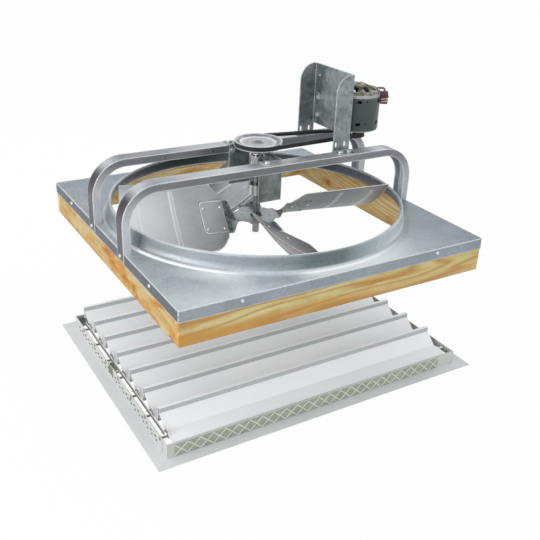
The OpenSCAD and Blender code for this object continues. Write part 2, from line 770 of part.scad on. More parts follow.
// blades: a sheet that is curved across its chord, cut to its outline
function chord_v(i) = blade_w * (chord_low_share + chord_span_share * i / chord_n);
module chord_sheet(lo, hi, u0, u1) translate([u0, 0, 0]) rotate([90, 0, 90]) linear_extrude(u1 - u0) polygon(concat(
    [for (i = [0 : chord_n]) [-chord_v(i), blade_z(chord_v(i)) + hi]],
    [for (i = [chord_n : -1 : 0]) [-chord_v(i), blade_z(chord_v(i)) + lo]]));
module upright(h) translate([0, 0, -h / 2]) linear_extrude(h) children();
module rivet_places() for (u = rivet_u) for (v = rivet_v)
    translate([u, -v, blade_z(v)]) rotate([-blade_tilt(v), 0, 0]) children();
module rivet_hole() translate([0, 0, -2 * spider_t - over]) cylinder(r = rivet_r + run, h = 4 * spider_t + 2 * over, $fn = 24);
module blade(angle) at_fan() rotate(angle - rotor_turn) color(steel) intersection() {
    difference() {
        union() {
            chord_sheet(-blade_t, 0, root_u - over, tip_r + over);
            for (s = bead_shares) intersection() {
                chord_sheet(-blade_t, bead_h, root_u + s * blade_len - bead_w / 2, root_u + s * blade_len + bead_w / 2);
                upright(blade_w * 2) translate([0, -bead_end_shares[1] * blade_w]) square([tip_r, (bead_end_shares[1] - bead_end_shares[0]) * blade_w]);
            }
        }
        for (s = bead_shares) intersection() {
            chord_sheet(-blade_t - over, bead_h - blade_t, root_u + s * blade_len - bead_w / 2 + blade_t, root_u + s * blade_len + bead_w / 2 - blade_t);
            upright(blade_w * 2) translate([0, blade_t - bead_end_shares[1] * blade_w])
                square([tip_r, (bead_end_shares[1] - bead_end_shares[0]) * blade_w - 2 * blade_t]);
        }
        rivet_places() rivet_hole();
    }
    upright(blade_w * 2) polygon([for (p = blade_shares) [root_u + p[0] * blade_len, -p[1] * blade_w]]);
    upright(blade_w * 2) circle(r = tip_r, $fn = 180);
}
module blade_left() blade(180);
module blade_right() blade(0);
module blade_front() blade(-90);
module blade_back() blade(90);
module rivet(up, low) {
    translate([0, 0, up]) cylinder(r1 = rivet_head_r, r2 = rivet_head_r - rivet_head_h, h = rivet_head_h, $fn = 24);
    translate([0, 0, -low - rivet_head_h]) cylinder(r = rivet_r, h = up + low + 2 * rivet_head_h - over, $fn = 24);
    translate([0, 0, -low - rivet_head_h]) cylinder(r = rivet_head_r - rivet_head_h / 2, h = rivet_head_h, $fn = 24);
}
module blade_rivets() at_fan() color(zinc) for (a = [0, 90, 180, 270]) rotate(a - rotor_turn)
    for (u = rivet_u) for (v = rivet_v) translate([u, -v, blade_z(v)]) rotate([-blade_tilt(v), 0, 0])
        rivet(run / 2, (blade_t + arm_t) * cos(blade_tilt(v)) + run / 2);

// spider: a flat middle with four arms that twist into paddles under the blades
function chord_z(v) = let (
    s = (v / blade_w - chord_low_share) / chord_span_share * chord_n,
    i = max(0, min(chord_n - 1, floor(s))), t = s - i)
    blade_z(chord_v(i)) * (1 - t) + blade_z(chord_v(i + 1)) * t;
paddle_w = paddle_lo + paddle_hi;
paddle_places = concat([0],
    [for (i = [0 : chord_n]) let (d = chord_v(i) + paddle_lo) if (d > over && d < paddle_w - over) d / paddle_w], [1]);
arm_v = len(paddle_places) - 1;
arm_u = 8;
arm_last = arm_u + 1;
function arm_point(i, j, up) = let (
    s = max(0, min(i - 1, arm_u - 1)) / (arm_u - 1), f = s * s * (3 - 2 * s),
    u = i == 0 ? arm_half : i == arm_last ? paddle_out + over
        : spider_r + over + (paddle_in - spider_r - over) * s,
    lo = -arm_half + (arm_half - paddle_lo) * f, hi = arm_half + (paddle_hi - arm_half) * f,
    v = lo + (hi - lo) * paddle_places[j])
    [u, -v, (arm_step - spider_low) * (1 - f) + (chord_z(v) - blade_t - arm_t) * f + up * arm_t];
arm_m = arm_v + 1;
function arm_id(i, j, up) = (i * arm_m + j) * 2 + up;
arm_faces = concat(
    [for (i = [0 : arm_u]) for (j = [0 : arm_v - 1]) each [
        [arm_id(i, j, 1), arm_id(i, j + 1, 1), arm_id(i + 1, j + 1, 1)],
        [arm_id(i, j, 1), arm_id(i + 1, j + 1, 1), arm_id(i + 1, j, 1)],
        [arm_id(i, j, 0), arm_id(i + 1, j + 1, 0), arm_id(i, j + 1, 0)],
        [arm_id(i, j, 0), arm_id(i + 1, j, 0), arm_id(i + 1, j + 1, 0)]]],
    [for (i = [0 : arm_u]) each [
        [arm_id(i, 0, 0), arm_id(i, 0, 1), arm_id(i + 1, 0, 1)],
        [arm_id(i, 0, 0), arm_id(i + 1, 0, 1), arm_id(i + 1, 0, 0)],
        [arm_id(i, arm_v, 0), arm_id(i + 1, arm_v, 1), arm_id(i, arm_v, 1)],
        [arm_id(i, arm_v, 0), arm_id(i + 1, arm_v, 0), arm_id(i + 1, arm_v, 1)]]],
    [for (j = [0 : arm_v - 1]) each [
        [arm_id(0, j, 0), arm_id(0, j + 1, 1), arm_id(0, j, 1)],
        [arm_id(0, j, 0), arm_id(0, j + 1, 0), arm_id(0, j + 1, 1)],
        [arm_id(arm_last, j, 0), arm_id(arm_last, j, 1), arm_id(arm_last, j + 1, 1)],
        [arm_id(arm_last, j, 0), arm_id(arm_last, j + 1, 1), arm_id(arm_last, j + 1, 0)]]]);
module arm() polyhedron(
    points = [for (i = [0 : arm_last]) for (j = [0 : arm_v]) for (up = [0, 1]) arm_point(i, j, up)],
    faces = [for (f = arm_faces) flip(f)]);
// plan of an arm: as wide as it comes, with the paddle's two outer corners rounded
function corner_pts(side, s) = let (r = paddle_hi / 3, c = [paddle_out - r, side - s * r],
    p = [for (i = [0 : 3]) c + r * [cos(30 * i), s * sin(30 * i)]]) concat(p, [p[3] + p[3] - p[2]]);
module arm_plan() {
    hi = corner_pts(paddle_lo, 1);
    lo = corner_pts(-paddle_hi, -1);
    polygon(concat([[0, -blade_w], [lo[4][0], -blade_w]], flip(lo), hi, [[hi[4][0], blade_w], [0, blade_w]]));
}
module blade_spider() at_fan() color(zinc) difference() {
    union() {
        translate([0, 0, -spider_low]) cylinder(r = spider_r, h = spider_t);
        for (a = [0, 90, 180, 270]) rotate(a - rotor_turn) intersection() {
            arm();
            upright(blade_w * 2) arm_plan();
        }
    }
    translate([0, 0, -spider_low - over]) cylinder(r = shaft_r + run, h = spider_t + 2 * over);
    for (a = [0, 90, 180, 270]) rotate(a - rotor_turn) rivet_places() rivet_hole();
}

// belt round both pulleys: one loop of a wedge section, swept round the two pitch circles
belt_section = [[belt_over, -belt_w / 2], [belt_over, belt_w / 2],
    [belt_over - belt_t, belt_in_w / 2], [belt_over - belt_t, -belt_in_w / 2]];
function belt_ring(c, r, a) = [for (p = belt_section) [c[0] + (r + p[0]) * cos(a), c[1] + (r + p[0]) * sin(a), p[1]]];
belt_points = concat(
    [for (i = [0 : belt_fan_n]) each belt_ring([0, 0], pitch_fan, center_a + wrap_a + (360 - 2 * wrap_a) * i / belt_fan_n)],
    [for (i = [0 : belt_motor_n]) each belt_ring([motor_x, -motor_front], pitch_motor, center_a - wrap_a + 2 * wrap_a * i / belt_motor_n)]);
belt_rings = belt_fan_n + belt_motor_n + 2;
function belt_id(i, k) = (i % belt_rings) * 4 + k % 4;
module drive_belt() at_fan() translate([0, 0, belt_z]) color(black) polyhedron(points = belt_points,
    faces = [for (i = [0 : belt_rings - 1]) for (k = [0 : 3]) each [
        [belt_id(i, k), belt_id(i, k + 1), belt_id(i + 1, k + 1)],
        [belt_id(i, k), belt_id(i + 1, k + 1), belt_id(i + 1, k)]]]);

// motor bracket over the rails
module flange_plan() difference() {
    union() {
        translate([mbr_edge_x, rail_top]) square([mbr_web_x - mbr_edge_x, mbr_top - rail_top - mbr_corner]);
        translate([mbr_edge_x + mbr_corner, rail_top]) square([mbr_web_x - mbr_edge_x - mbr_corner, mbr_top - rail_top]);
        translate([mbr_edge_x + mbr_corner, mbr_top - mbr_corner]) circle(r = mbr_corner, $fn = 96);
    }
    translate([mbr_web_x, rail_top]) square([mbr_corner * 2, mbr_top]);
    for (x = slot_x) {
        translate([x - slot_half_w, slot_z - slot_half_h + slot_half_w]) square([2 * slot_half_w, 2 * (slot_half_h - slot_half_w)]);
        for (s = [-1, 1]) translate([x, slot_z + s * (slot_half_h - slot_half_w)]) circle(r = slot_half_w, $fn = 32);
    }
}
module web_holes() for (z = web_hole_z) for (s = [-1, 1]) translate([mbr_web_x - mbr_t - over, s * web_hole_y, z])
    rotate([0, 90, 0]) cylinder(r = web_hole_r, h = mbr_t + cradle_t + 2 * over, $fn = 24);
module motor_bracket() at_fan() color(steel) difference() {
    union() {
        both_sides() {
            translate([0, mbr_side_y, 0]) rotate([90, 0, 0]) linear_extrude(mbr_t) flange_plan();
            translate([mbr_edge_x, mbr_side_y - mbr_t, rail_top]) cube([mbr_web_x - mbr_edge_x, foot_reach - mbr_side_y + mbr_t, mbr_t]);
        }
        translate([mbr_web_x - mbr_t, -mbr_side_y, mbr_web_z]) cube([mbr_t, 2 * mbr_side_y, mbr_top - mbr_web_z]);
    }
    foot_bolts() hole(mbr_t + rail_t);
    mount_places() hole(cradle_t + mbr_t);
    web_holes();
}
module motor_cradle() at_fan() color(dark_steel) difference() {
    union() {
        translate([mbr_web_x, -cradle_half, cradle_lo]) cube([cradle_t, 2 * cradle_half, cradle_hi - cradle_lo]);
        for (s = [-1, 1]) translate([mbr_web_x, -motor_front + s * rib_y - rib_t / 2, cradle_lo])
            cube([motor_x - mbr_web_x - bore_r, rib_t, cradle_hi - cradle_lo]);
    }
    translate([motor_x, -motor_front, cradle_lo - over]) cylinder(r = motor_r + fit, h = cradle_hi - cradle_lo + 2 * over, $fn = 96);
    mount_places() hole(cradle_t);
    web_holes();
}
module motor_mount_bolts() at_fan() color(zinc) mount_places() bolt(cradle_t + mbr_t);

// motor
module shell_vents() for (i = [0 : vent_n - 1]) for (z = [shell_hi - vent_top, shell_lo + vent_low]) {
    rotate(i * vent_step) translate([motor_r - 3 * shell_t, -vent_half, z - vent_h]) cube([6 * shell_t, 2 * vent_half, 2 * vent_h]);
    rotate(i * vent_step + vent_turn) translate([motor_r - 3 * shell_t, 0, z]) rotate([0, 90, 0]) cylinder(r = vent_hole_r, h = 6 * shell_t, $fn = 24);
}
module motor_shell() at_motor() color(green) difference() {
    translate([0, 0, shell_lo]) cylinder(r = motor_r, h = shell_hi - shell_lo, $fn = 96);
    translate([0, 0, shell_lo - over]) cylinder(r = motor_r - shell_t, h = shell_hi - shell_lo + 2 * over, $fn = 96);
    shell_vents();
}
module through_places() for (i = [0 : through_n - 1]) rotate(45 + 360 * i / through_n) translate([through_ring, 0, 0]) children();
module motor_top_bell() at_motor() color(zinc) difference() {
    rotate_extrude($fn = 96) polygon([
        [mshaft_r + 2 * fit, shell_hi + bell_h], [bell_hub_r, shell_hi + bell_h], [bell_flat_r, shell_hi + bell_flat_h],
        [motor_r - bell_wall, shell_hi + bell_flat_h], [motor_r - fit, shell_hi + bell_rim], [motor_r - fit, shell_hi],
        [bell_flat_r + bell_wall, shell_hi], [bell_flat_r, shell_hi + bell_flat_h - bell_wall],
        [bell_hub_r, shell_hi + bell_h - 2 * bell_wall], [mbear_r + fit, shell_hi + bell_h - mbear_h - bell_wall],
        [mbear_r + fit, shell_hi + bell_h - bell_wall], [mshaft_r + 2 * fit, shell_hi + bell_h - bell_wall]]);
    for (i = [0 : bell_win_n - 1]) rotate(360 * i / bell_win_n) translate([bell_win_in, -bell_win_half, shell_hi]) cube([bell_win_out - bell_win_in, 2 * bell_win_half, bell_h]);
    through_places() translate([0, 0, shell_hi - over]) cylinder(r = through_r + fit, h = bell_h, $fn = 24);
}
module motor_bottom_bell() at_motor() color(zinc) difference() {
    rotate_extrude($fn = 96) polygon([
        [mshaft_r + 2 * fit, shell_lo - boss_h], [boss_r - bell_wall, shell_lo - boss_h], [boss_r, shell_lo - dish_h],
        [motor_r - bell_wall, shell_lo - dish_h], [motor_r - fit, shell_lo], [boss_r, shell_lo],
        [boss_r, shell_lo + bell_wall], [mbear_r + fit, shell_lo + bell_wall], [mbear_r + fit, shell_lo - boss_h + bell_wall],
        [mshaft_r + 2 * fit, shell_lo - boss_h + bell_wall]]);
    through_places() translate([0, 0, shell_lo - dish_h - over]) cylinder(r = through_r + fit, h = dish_h + 2 * over, $fn = 24);
}
module motor_through_bolts() at_motor() color(zinc) through_places() {
    translate([0, 0, shell_hi + bell_flat_h]) cylinder(r = through_head_r - fit * 3, h = through_head_h, $fn = 6);
    translate([0, 0, shell_lo - dish_h - through_head_h]) cylinder(r = through_r, h = shell_hi + bell_flat_h - shell_lo + dish_h + through_head_h + over, $fn = 24);
    translate([0, 0, shell_lo - dish_h - through_head_h]) cylinder(r = through_head_r, h = through_head_h, $fn = 6);
}
module motor_stator() at_motor() color(dark_steel) translate([0, 0, shell_lo + stator_margin]) difference() {
    cylinder(r = motor_r - shell_t - fit, h = shell_hi - shell_lo - 2 * stator_margin, $fn = 96);
    translate([0, 0, -over]) cylinder(r = bore_r, h = shell_hi - shell_lo, $fn = 96);
    for (i = [0 : slot_n - 1]) rotate(360 * i / slot_n) translate([0, -slot_w / 2, -over]) cube([slot_r, slot_w, shell_hi - shell_lo]);
    through_places() translate([0, 0, -over]) {
        cylinder(r = through_r + fit, h = shell_hi - shell_lo, $fn = 24);
        translate([0, -through_r - fit, 0]) cube([motor_r - through_ring, 2 * (through_r + fit), shell_hi - shell_lo]);
    }
}
module stator_windings() at_motor() color([0.72, 0.42, 0.2]) for (z = [shell_hi - stator_margin, shell_lo + stator_margin - wind_h]) translate([0, 0, z]) difference() {
    cylinder(r = wind_out, h = wind_h);
    translate([0, 0, -over]) cylinder(r = wind_in, h = wind_h + 2 * over);
}
module motor_rotor() at_motor() color(dark_steel) translate([0, 0, shell_lo + stator_margin]) difference() {
    cylinder(r = bore_r - rotor_gap, h = shell_hi - shell_lo - 2 * stator_margin, $fn = 96);
    translate([0, 0, -over]) cylinder(r = mshaft_r + run, h = shell_hi - shell_lo);
}
module motor_shaft() at_motor() color(zinc) translate([0, 0, belt_z - mhub_lo - thread_end])
    cylinder(r = mshaft_r, h = shell_hi + bell_h + thread_end - belt_z + mhub_lo + thread_end, $fn = 48);
module motor_bearings() at_motor() color(zinc) for (z = [shell_hi + bell_h - bell_wall - mbear_h, shell_lo - boss_h + bell_wall]) translate([0, 0, z]) difference() {
    cylinder(r = mbear_r, h = mbear_h);
    translate([0, 0, -over]) cylinder(r = mshaft_r + run, h = mbear_h + 2 * over);
}
module motor_pulley() at_motor() translate([0, 0, belt_z]) color([0.3, 0.14, 0.12])
    rotate_extrude($fn = 72) pulley_profile(pitch_motor, mshaft_r + run, mhub_r, mhub_lo, mhub_hi, mhub_r + disc_half, motor_disc_half);

// connector and its three leads
module at_plug() at_motor() rotate(lead_angle) children();
module wire_connector() at_plug() color(black) {
    translate([motor_r + fit, -plug_w / 2, lead_low - plug_h]) cube([plug_d, plug_w, plug_h]);
    translate([motor_r + fit + plug_rim, -plug_w / 2 - plug_rim, lead_low - plug_rim_low])
        cube([plug_d, plug_w + 2 * plug_rim, plug_rim_h]);
}
lead_up = shell_hi + bell_flat_h + 2 * lead_r;
function lead_path(y) = concat(
    [[lead_in, y, shell_hi + bell_flat_h], [lead_in, y, lead_up]],
    [for (i = [1 : lead_steps - 1]) let (a = 180 - 180 * i / lead_steps)
        [lead_in + lead_bend * (1 + cos(a)), y, lead_up + lead_bend * sin(a)]],
    [[lead_in + 2 * lead_bend, y, lead_up], [lead_in + 2 * lead_bend, y, lead_low]]);
module lead_wires() at_plug() color([0.5, 0.12, 0.12]) for (i = [-1, 0, 1]) tube(lead_path(i * lead_gap), [for (p = lead_path(0)) [0, 1, 0]], lead_r, lead_sides);

// shutter frame: four lengths, mitred at the flange
module trim_side(corners) linear_extrude(frame_t) polygon(corners);
module frame_front() color(white) difference() {
    union() {
        trim_side([[x0, y0], [x1, y0], [cx1, cy0], [cx1, cy0 + frame_t], [cx0, cy0 + frame_t], [cx0, cy0]]);
        translate([cx0, cy0, 0]) cube([cx1 - cx0, frame_t, collar_z]);
        translate([cx0 + frame_t, cy0, collar_z - frame_t]) cube([cx1 - cx0 - 2 * frame_t, hem_w + frame_t, frame_t]);
    }
    for (s = trim_hole_shares) translate([s * trim_w, y0 + trim_hole_in, -over]) cylinder(r = trim_hole_r, h = frame_t + 2 * over, $fn = 24);
}
module frame_back() color(white) difference() {
    union() {
        trim_side([[x1, y1], [x0, y1], [cx0, cy1], [cx0, cy1 - frame_t], [cx1, cy1 - frame_t], [cx1, cy1]]);
        translate([cx0, cy1 - frame_t, 0]) cube([cx1 - cx0, frame_t, collar_z]);
        translate([cx0 + frame_t, cy1 - hem_w - frame_t, collar_z - frame_t]) cube([cx1 - cx0 - 2 * frame_t, hem_w + frame_t, frame_t]);
    }
    for (s = trim_hole_shares) translate([s * trim_w, y1 - trim_hole_in, -over]) cylinder(r = trim_hole_r, h = frame_t + 2 * over, $fn = 24);
}
module pivot_places(x) for (k = [1 : louver_n]) translate([x, pivot_y(k), pivot_z]) rotate([0, 90, 0]) children();
module frame_left() color(white) difference() {
    union() {
        trim_side([[x0, y1], [x0, y0], [cx0, cy0], [cx0, cy0 + frame_t], [cx0 + frame_t, cy0 + frame_t], [cx0 + frame_t, cy1 - frame_t], [cx0, cy1 - frame_t], [cx0, cy1]]);
        translate([cx0, cy0 + frame_t, 0]) cube([frame_t, cy1 - cy0 - 2 * frame_t, collar_z]);
    }
    pivot_places(cx0 - over) cylinder(r = bush_r + fit, h = frame_t + 2 * over, $fn = 32);
    translate([x0 + trim_hole_in, trim_side_hole, -over]) cylinder(r = trim_hole_r, h = frame_t + 2 * over, $fn = 24);
}
module frame_right() color(white) difference() {
    union() {
        trim_side([[x1, y0], [x1, y1], [cx1, cy1], [cx1, cy1 - frame_t], [cx1 - frame_t, cy1 - frame_t], [cx1 - frame_t, cy0 + frame_t], [cx1, cy0 + frame_t], [cx1, cy0]]);
        translate([cx1 - frame_t, cy0 + frame_t, 0]) cube([frame_t, cy1 - cy0 - 2 * frame_t, collar_z]);
    }
    pivot_places(cx1 - frame_t - over) cylinder(r = bush_r + fit, h = frame_t + 2 * over, $fn = 32);
    translate([x1 - trim_hole_in, trim_side_hole, -over]) cylinder(r = trim_hole_r, h = frame_t + 2 * over, $fn = 24);
}
module clip(sx, sy, x, y) translate([x, y, clip_z]) mirror([(1 - sx) / 2, 0, 0]) mirror([0, (1 - sy) / 2, 0]) {
    cube([clip_arm, clip_t, clip_h]);
    cube([clip_t, clip_arm, clip_h]);
}
module corner_clips() color(zinc) {
    clip(1, 1, cx0 + frame_t, cy0 + frame_t);
    clip(-1, 1, cx1 - frame_t, cy0 + frame_t);
    clip(1, -1, cx0 + frame_t, cy1 - frame_t);
    clip(-1, -1, cx1 - frame_t, cy1 - frame_t);
}
module seal_strip() color([0.66, 0.66, 0.62]) translate([cx0 + strip_l, cy0 - strip_t, frame_t + strip_margin])
    cube([cx1 - cx0 - strip_l - strip_r, strip_t, collar_h - 2 * strip_margin]);
module bushing() difference() {
    union() {
        translate([0, 0, -bush_flange_t]) cylinder(r = bush_flange_r, h = bush_flange_t, $fn = 32);
        translate([0, 0, -over]) cylinder(r = bush_r, h = frame_t + bush_out + over, $fn = 32);
    }
    translate([0, 0, -bush_flange_t - over]) cylinder(r = pivot_r + run, h = frame_t + bush_out + bush_flange_t + 2 * over, $fn = 32);
}
module pivot_bushings() color([0.2, 0.2, 0.21]) {
    pivot_places(cx0 + frame_t) mirror([0, 0, 1]) bushing();
    pivot_places(cx1 - frame_t) bushing();
}

// louvers: folded sheet with an end plate, pivot pin and crank pin
louver_path = [[lip_w, -edge_low + 2 * fit], [lip_w, lip_rise], [0, lip_rise], [0, lip_rise - lip_face],
    [-drop_w, -sill_low], [-louver_front, -edge_low]];
module louver(k) color(white) translate([0, lip_y(k), collar_z]) {
    translate([lx0, 0, 0]) rotate([90, 0, 90]) linear_extrude(lx1 - lx0) polygon(concat(louver_path, flip(side_path(louver_path, louver_t))));
    translate([0, -pivot_back, -pivot_low]) {
        for (x = [lx0, lx1 - plate_t]) translate([x, 0, 0]) rotate([0, 90, 0]) cylinder(r = plate_r, h = plate_t, $fn = 32);
        translate([lx0, 0, 0]) rotate([90, 0, 90]) linear_extrude(plate_t) rotate(crank_angle) translate([0, -plate_r]) square([crank_r, 2 * plate_r]);
        translate([lx0, crank_dy, crank_dz]) rotate([0, 90, 0]) cylinder(r = plate_r, h = plate_t, $fn = 32);
        translate([cx0 - pin_past, 0, 0]) rotate([0, 90, 0]) cylinder(r = pivot_r, h = lx0 - cx0 + pin_past + plate_t, $fn = 32);
        translate([lx1 - plate_t, 0, 0]) rotate([0, 90, 0]) cylinder(r = pivot_r, h = cx1 - lx1 + pin_past + plate_t, $fn = 32);
        translate([bar_x0 - head_gap - crank_head_t, crank_dy, crank_dz]) rotate([0, 90, 0]) {
            cylinder(r = crank_pin_r, h = lx0 - bar_x0 + head_gap + crank_head_t + plate_t, $fn = 32);
            cylinder(r = crank_head_r, h = crank_head_t, $fn = 32);
        }
    }
}
module louver_1() louver(1);
module louver_2() louver(2);
module louver_3() louver(3);
module louver_4() louver(4);
module louver_5() louver(5);
module louver_6() louver(6);
module louver_7() louver(7);
bar_z = pivot_z + crank_dz;
module tie_bar() color(white) difference() {
    union() {
        translate([bar_x0, pivot_y(louver_n) + crank_dy - bar_past, bar_z - bar_h / 2])
            cube([bar_t, pivot_y(1) - pivot_y(louver_n) + 2 * bar_past, bar_h]);
        translate([bar_x0 - lug_x, lug_y - lug_t, collar_z + spring_low - lug_h / 2]) cube([lug_x + over, lug_t, lug_h]);
    }
    for (k = [1 : louver_n]) translate([bar_x0 - over, pivot_y(k) + crank_dy, bar_z]) rotate([0, 90, 0])
        cylinder(r = crank_pin_r + run, h = bar_t + 2 * over, $fn = 32);
}

// return spring between the tie bar's lug and the anchor on the collar
spring_cx = cx0 + frame_t + spring_x;
spring_z = collar_z + spring_low;
curl_total = curl_n * curl_steps;
function spring_path() = let (a = lug_y, b = anchor_y, w = 2 * wire_r) concat(
    [[spring_cx + curl_r, a, spring_z]],
    [for (i = [0 : curl_total]) [spring_cx + curl_r * cos(360 * i / curl_steps), a + w + (b - a - 2 * w) * i / curl_total, spring_z + curl_r * sin(360 * i / curl_steps)]],
    [[spring_cx + curl_r, b, spring_z]]);
spring_gap = (anchor_y - lug_y - 4 * wire_r) / curl_n - 2 * wire_r;
echo(least_gap_of_spring_to_itself = spring_gap);
spring_sides = concat([[1, 0, 0]], [for (i = [0 : curl_total]) [cos(360 * i / curl_steps), 0, sin(360 * i / curl_steps)]], [[1, 0, 0]]);
module return_spring() color(dark_steel) tube(spring_path(), spring_sides, wire_r, wire_sides);
module spring_anchor() color(dark_steel) {
    translate([cx0 - anchor_t, anchor_y - anchor_w, collar_z - anchor_leg]) cube([anchor_t, anchor_w, anchor_leg + anchor_t]);
    translate([cx0 - anchor_t, anchor_y - anchor_t, collar_z]) cube([anchor_t + frame_t + anchor_t, 3 * anchor_t, anchor_t]);
    translate([cx0 + frame_t, anchor_y, collar_z - anchor_in]) cube([spring_x + curl_r + wire_r, 2 * anchor_t, anchor_in + anchor_t]);
}

board_front();
board_back();
board_left();
board_right();
corner_nails();
venturi_panel();
skirt_screws();
rail_front();
rail_back();
bearing_bracket();
bracket_bolts();
hex_nuts();
bearing_housings();
bearing_races();
bearing_balls();
bearing_inner_rings();
bearing_bolts();
fan_shaft();
fan_pulley();
set_screws();
fan_hub();
blade_spider();
blade_left();
blade_right();
blade_front();
blade_back();
blade_rivets();
drive_belt();
motor_bracket();
motor_cradle();
motor_mount_bolts();
motor_shell();
motor_top_bell();
motor_bottom_bell();
motor_through_bolts();
motor_stator();
stator_windings();
motor_rotor();
motor_shaft();
motor_bearings();
motor_pulley();
wire_connector();
lead_wires();
frame_front();
frame_back();
frame_left();
frame_right();
corner_clips();
seal_strip();
pivot_bushings();
louver_1();
louver_2();
louver_3();
louver_4();
louver_5();
louver_6();
louver_7();
tie_bar();
return_spring();
spring_anchor();
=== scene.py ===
"""Whole house fan over its ceiling shutter: finishes, small pieces, light and camera round the frame."""
import math

import bmesh
import bpy
from mathutils import Matrix, Vector


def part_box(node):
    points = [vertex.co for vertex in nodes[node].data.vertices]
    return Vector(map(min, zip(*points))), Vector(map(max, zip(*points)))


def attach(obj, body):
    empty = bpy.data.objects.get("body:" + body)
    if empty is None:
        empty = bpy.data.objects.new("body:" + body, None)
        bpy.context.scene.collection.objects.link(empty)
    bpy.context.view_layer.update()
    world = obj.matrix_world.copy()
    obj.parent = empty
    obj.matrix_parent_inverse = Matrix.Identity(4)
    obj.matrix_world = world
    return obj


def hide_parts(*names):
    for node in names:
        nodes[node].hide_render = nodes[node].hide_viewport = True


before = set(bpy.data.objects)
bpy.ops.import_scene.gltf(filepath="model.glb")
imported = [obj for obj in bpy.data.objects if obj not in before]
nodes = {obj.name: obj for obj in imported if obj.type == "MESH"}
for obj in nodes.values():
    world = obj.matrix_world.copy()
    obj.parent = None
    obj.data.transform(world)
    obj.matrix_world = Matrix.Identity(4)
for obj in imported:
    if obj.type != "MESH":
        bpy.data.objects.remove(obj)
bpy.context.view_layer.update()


def box(node):
    """Low and high corner of a solid's box."""
    return [Vector(corner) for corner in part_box(node)]


# Places and sizes, in metres, taken from the frame where it gives them

SHEET = 0.0012                                  # thickness of the panel
PANEL_LOW, PANEL_HIGH = box("venturi_panel")
PANEL_Z = box("board_front")[1].z + SHEET       # top of the flat sheet
RING_FOOT_R = 0.425                             # radius at which the ring rises from the sheet

FAN_PULLEY_LOW, FAN_PULLEY_HIGH = box("fan_pulley")
FAN_X = (FAN_PULLEY_LOW.x + FAN_PULLEY_HIGH.x) / 2
PULLEY_R = (FAN_PULLEY_HIGH.x - FAN_PULLEY_LOW.x) / 2
ROTOR_TURN = math.radians(11.5)                 # the rotor's turn at rest
PAD_REACH = (0.119, 0.039)                      # middle and half length of a paddle's pad, from the axis
PAD_ACROSS = (0.012, 0.042)                     # middle and half width of the pad, across its blade
PAD_ROUND = 0.016                               # how softly the pad's corners are rounded
PAD_LINE = (0.0016, 0.0006)                     # half widths at which the pad's outline fades and is full
PAD_BRIGHT, PAD_SHADOW = 0.001, 0.0014          # offsets of the outline's painted highlight inside and its painted shadow outside

BELL_LOW, BELL_HIGH = box("motor_top_bell")
MOTOR_X, MOTOR_Y = (BELL_LOW.x + BELL_HIGH.x) / 2, (BELL_LOW.y + BELL_HIGH.y) / 2
BELL_RIM_TOP = BELL_LOW.z + 0.009               # top of the light rim round the bell

FLANGE_TOP = 0.002                              # upper face of the shutter's flange
COLLAR_X = box("frame_left")[1].x - 0.0015      # outer face of the collar's left side
LOUVER_LIP_Z = 0.061                            # lower edge of the painted shade on a louver's lip
LOUVER_LEFT = -0.4416                           # left end of the louvers' leaves
FADE = 0.001                                    # length over which one coat gives way to the next


# Nodes and finishes


def channel(value):
    """One channel of a written colour, 0 to 255, as light."""
    share = value / 255
    return share / 12.92 if share <= 0.04045 else ((share + 0.055) / 1.055) ** 2.4


def paint(red, green, blue):
    return (channel(red), channel(green), channel(blue), 1.0)


def add_node(tree, kind, inputs=None, **settings):
    """A node with its settings; each input is a value or the output of another node."""
    node = tree.nodes.new(kind)
    for key, value in settings.items():
        setattr(node, key, value)
    for key, value in (inputs or {}).items():
        if isinstance(value, bpy.types.NodeSocket):
            tree.links.new(value, node.inputs[key])
        else:
            node.inputs[key].default_value = value
    return node


TONE_LOW, TONE_HIGH = 0.3, 0.7     # where a noise is about at its darkest and its lightest


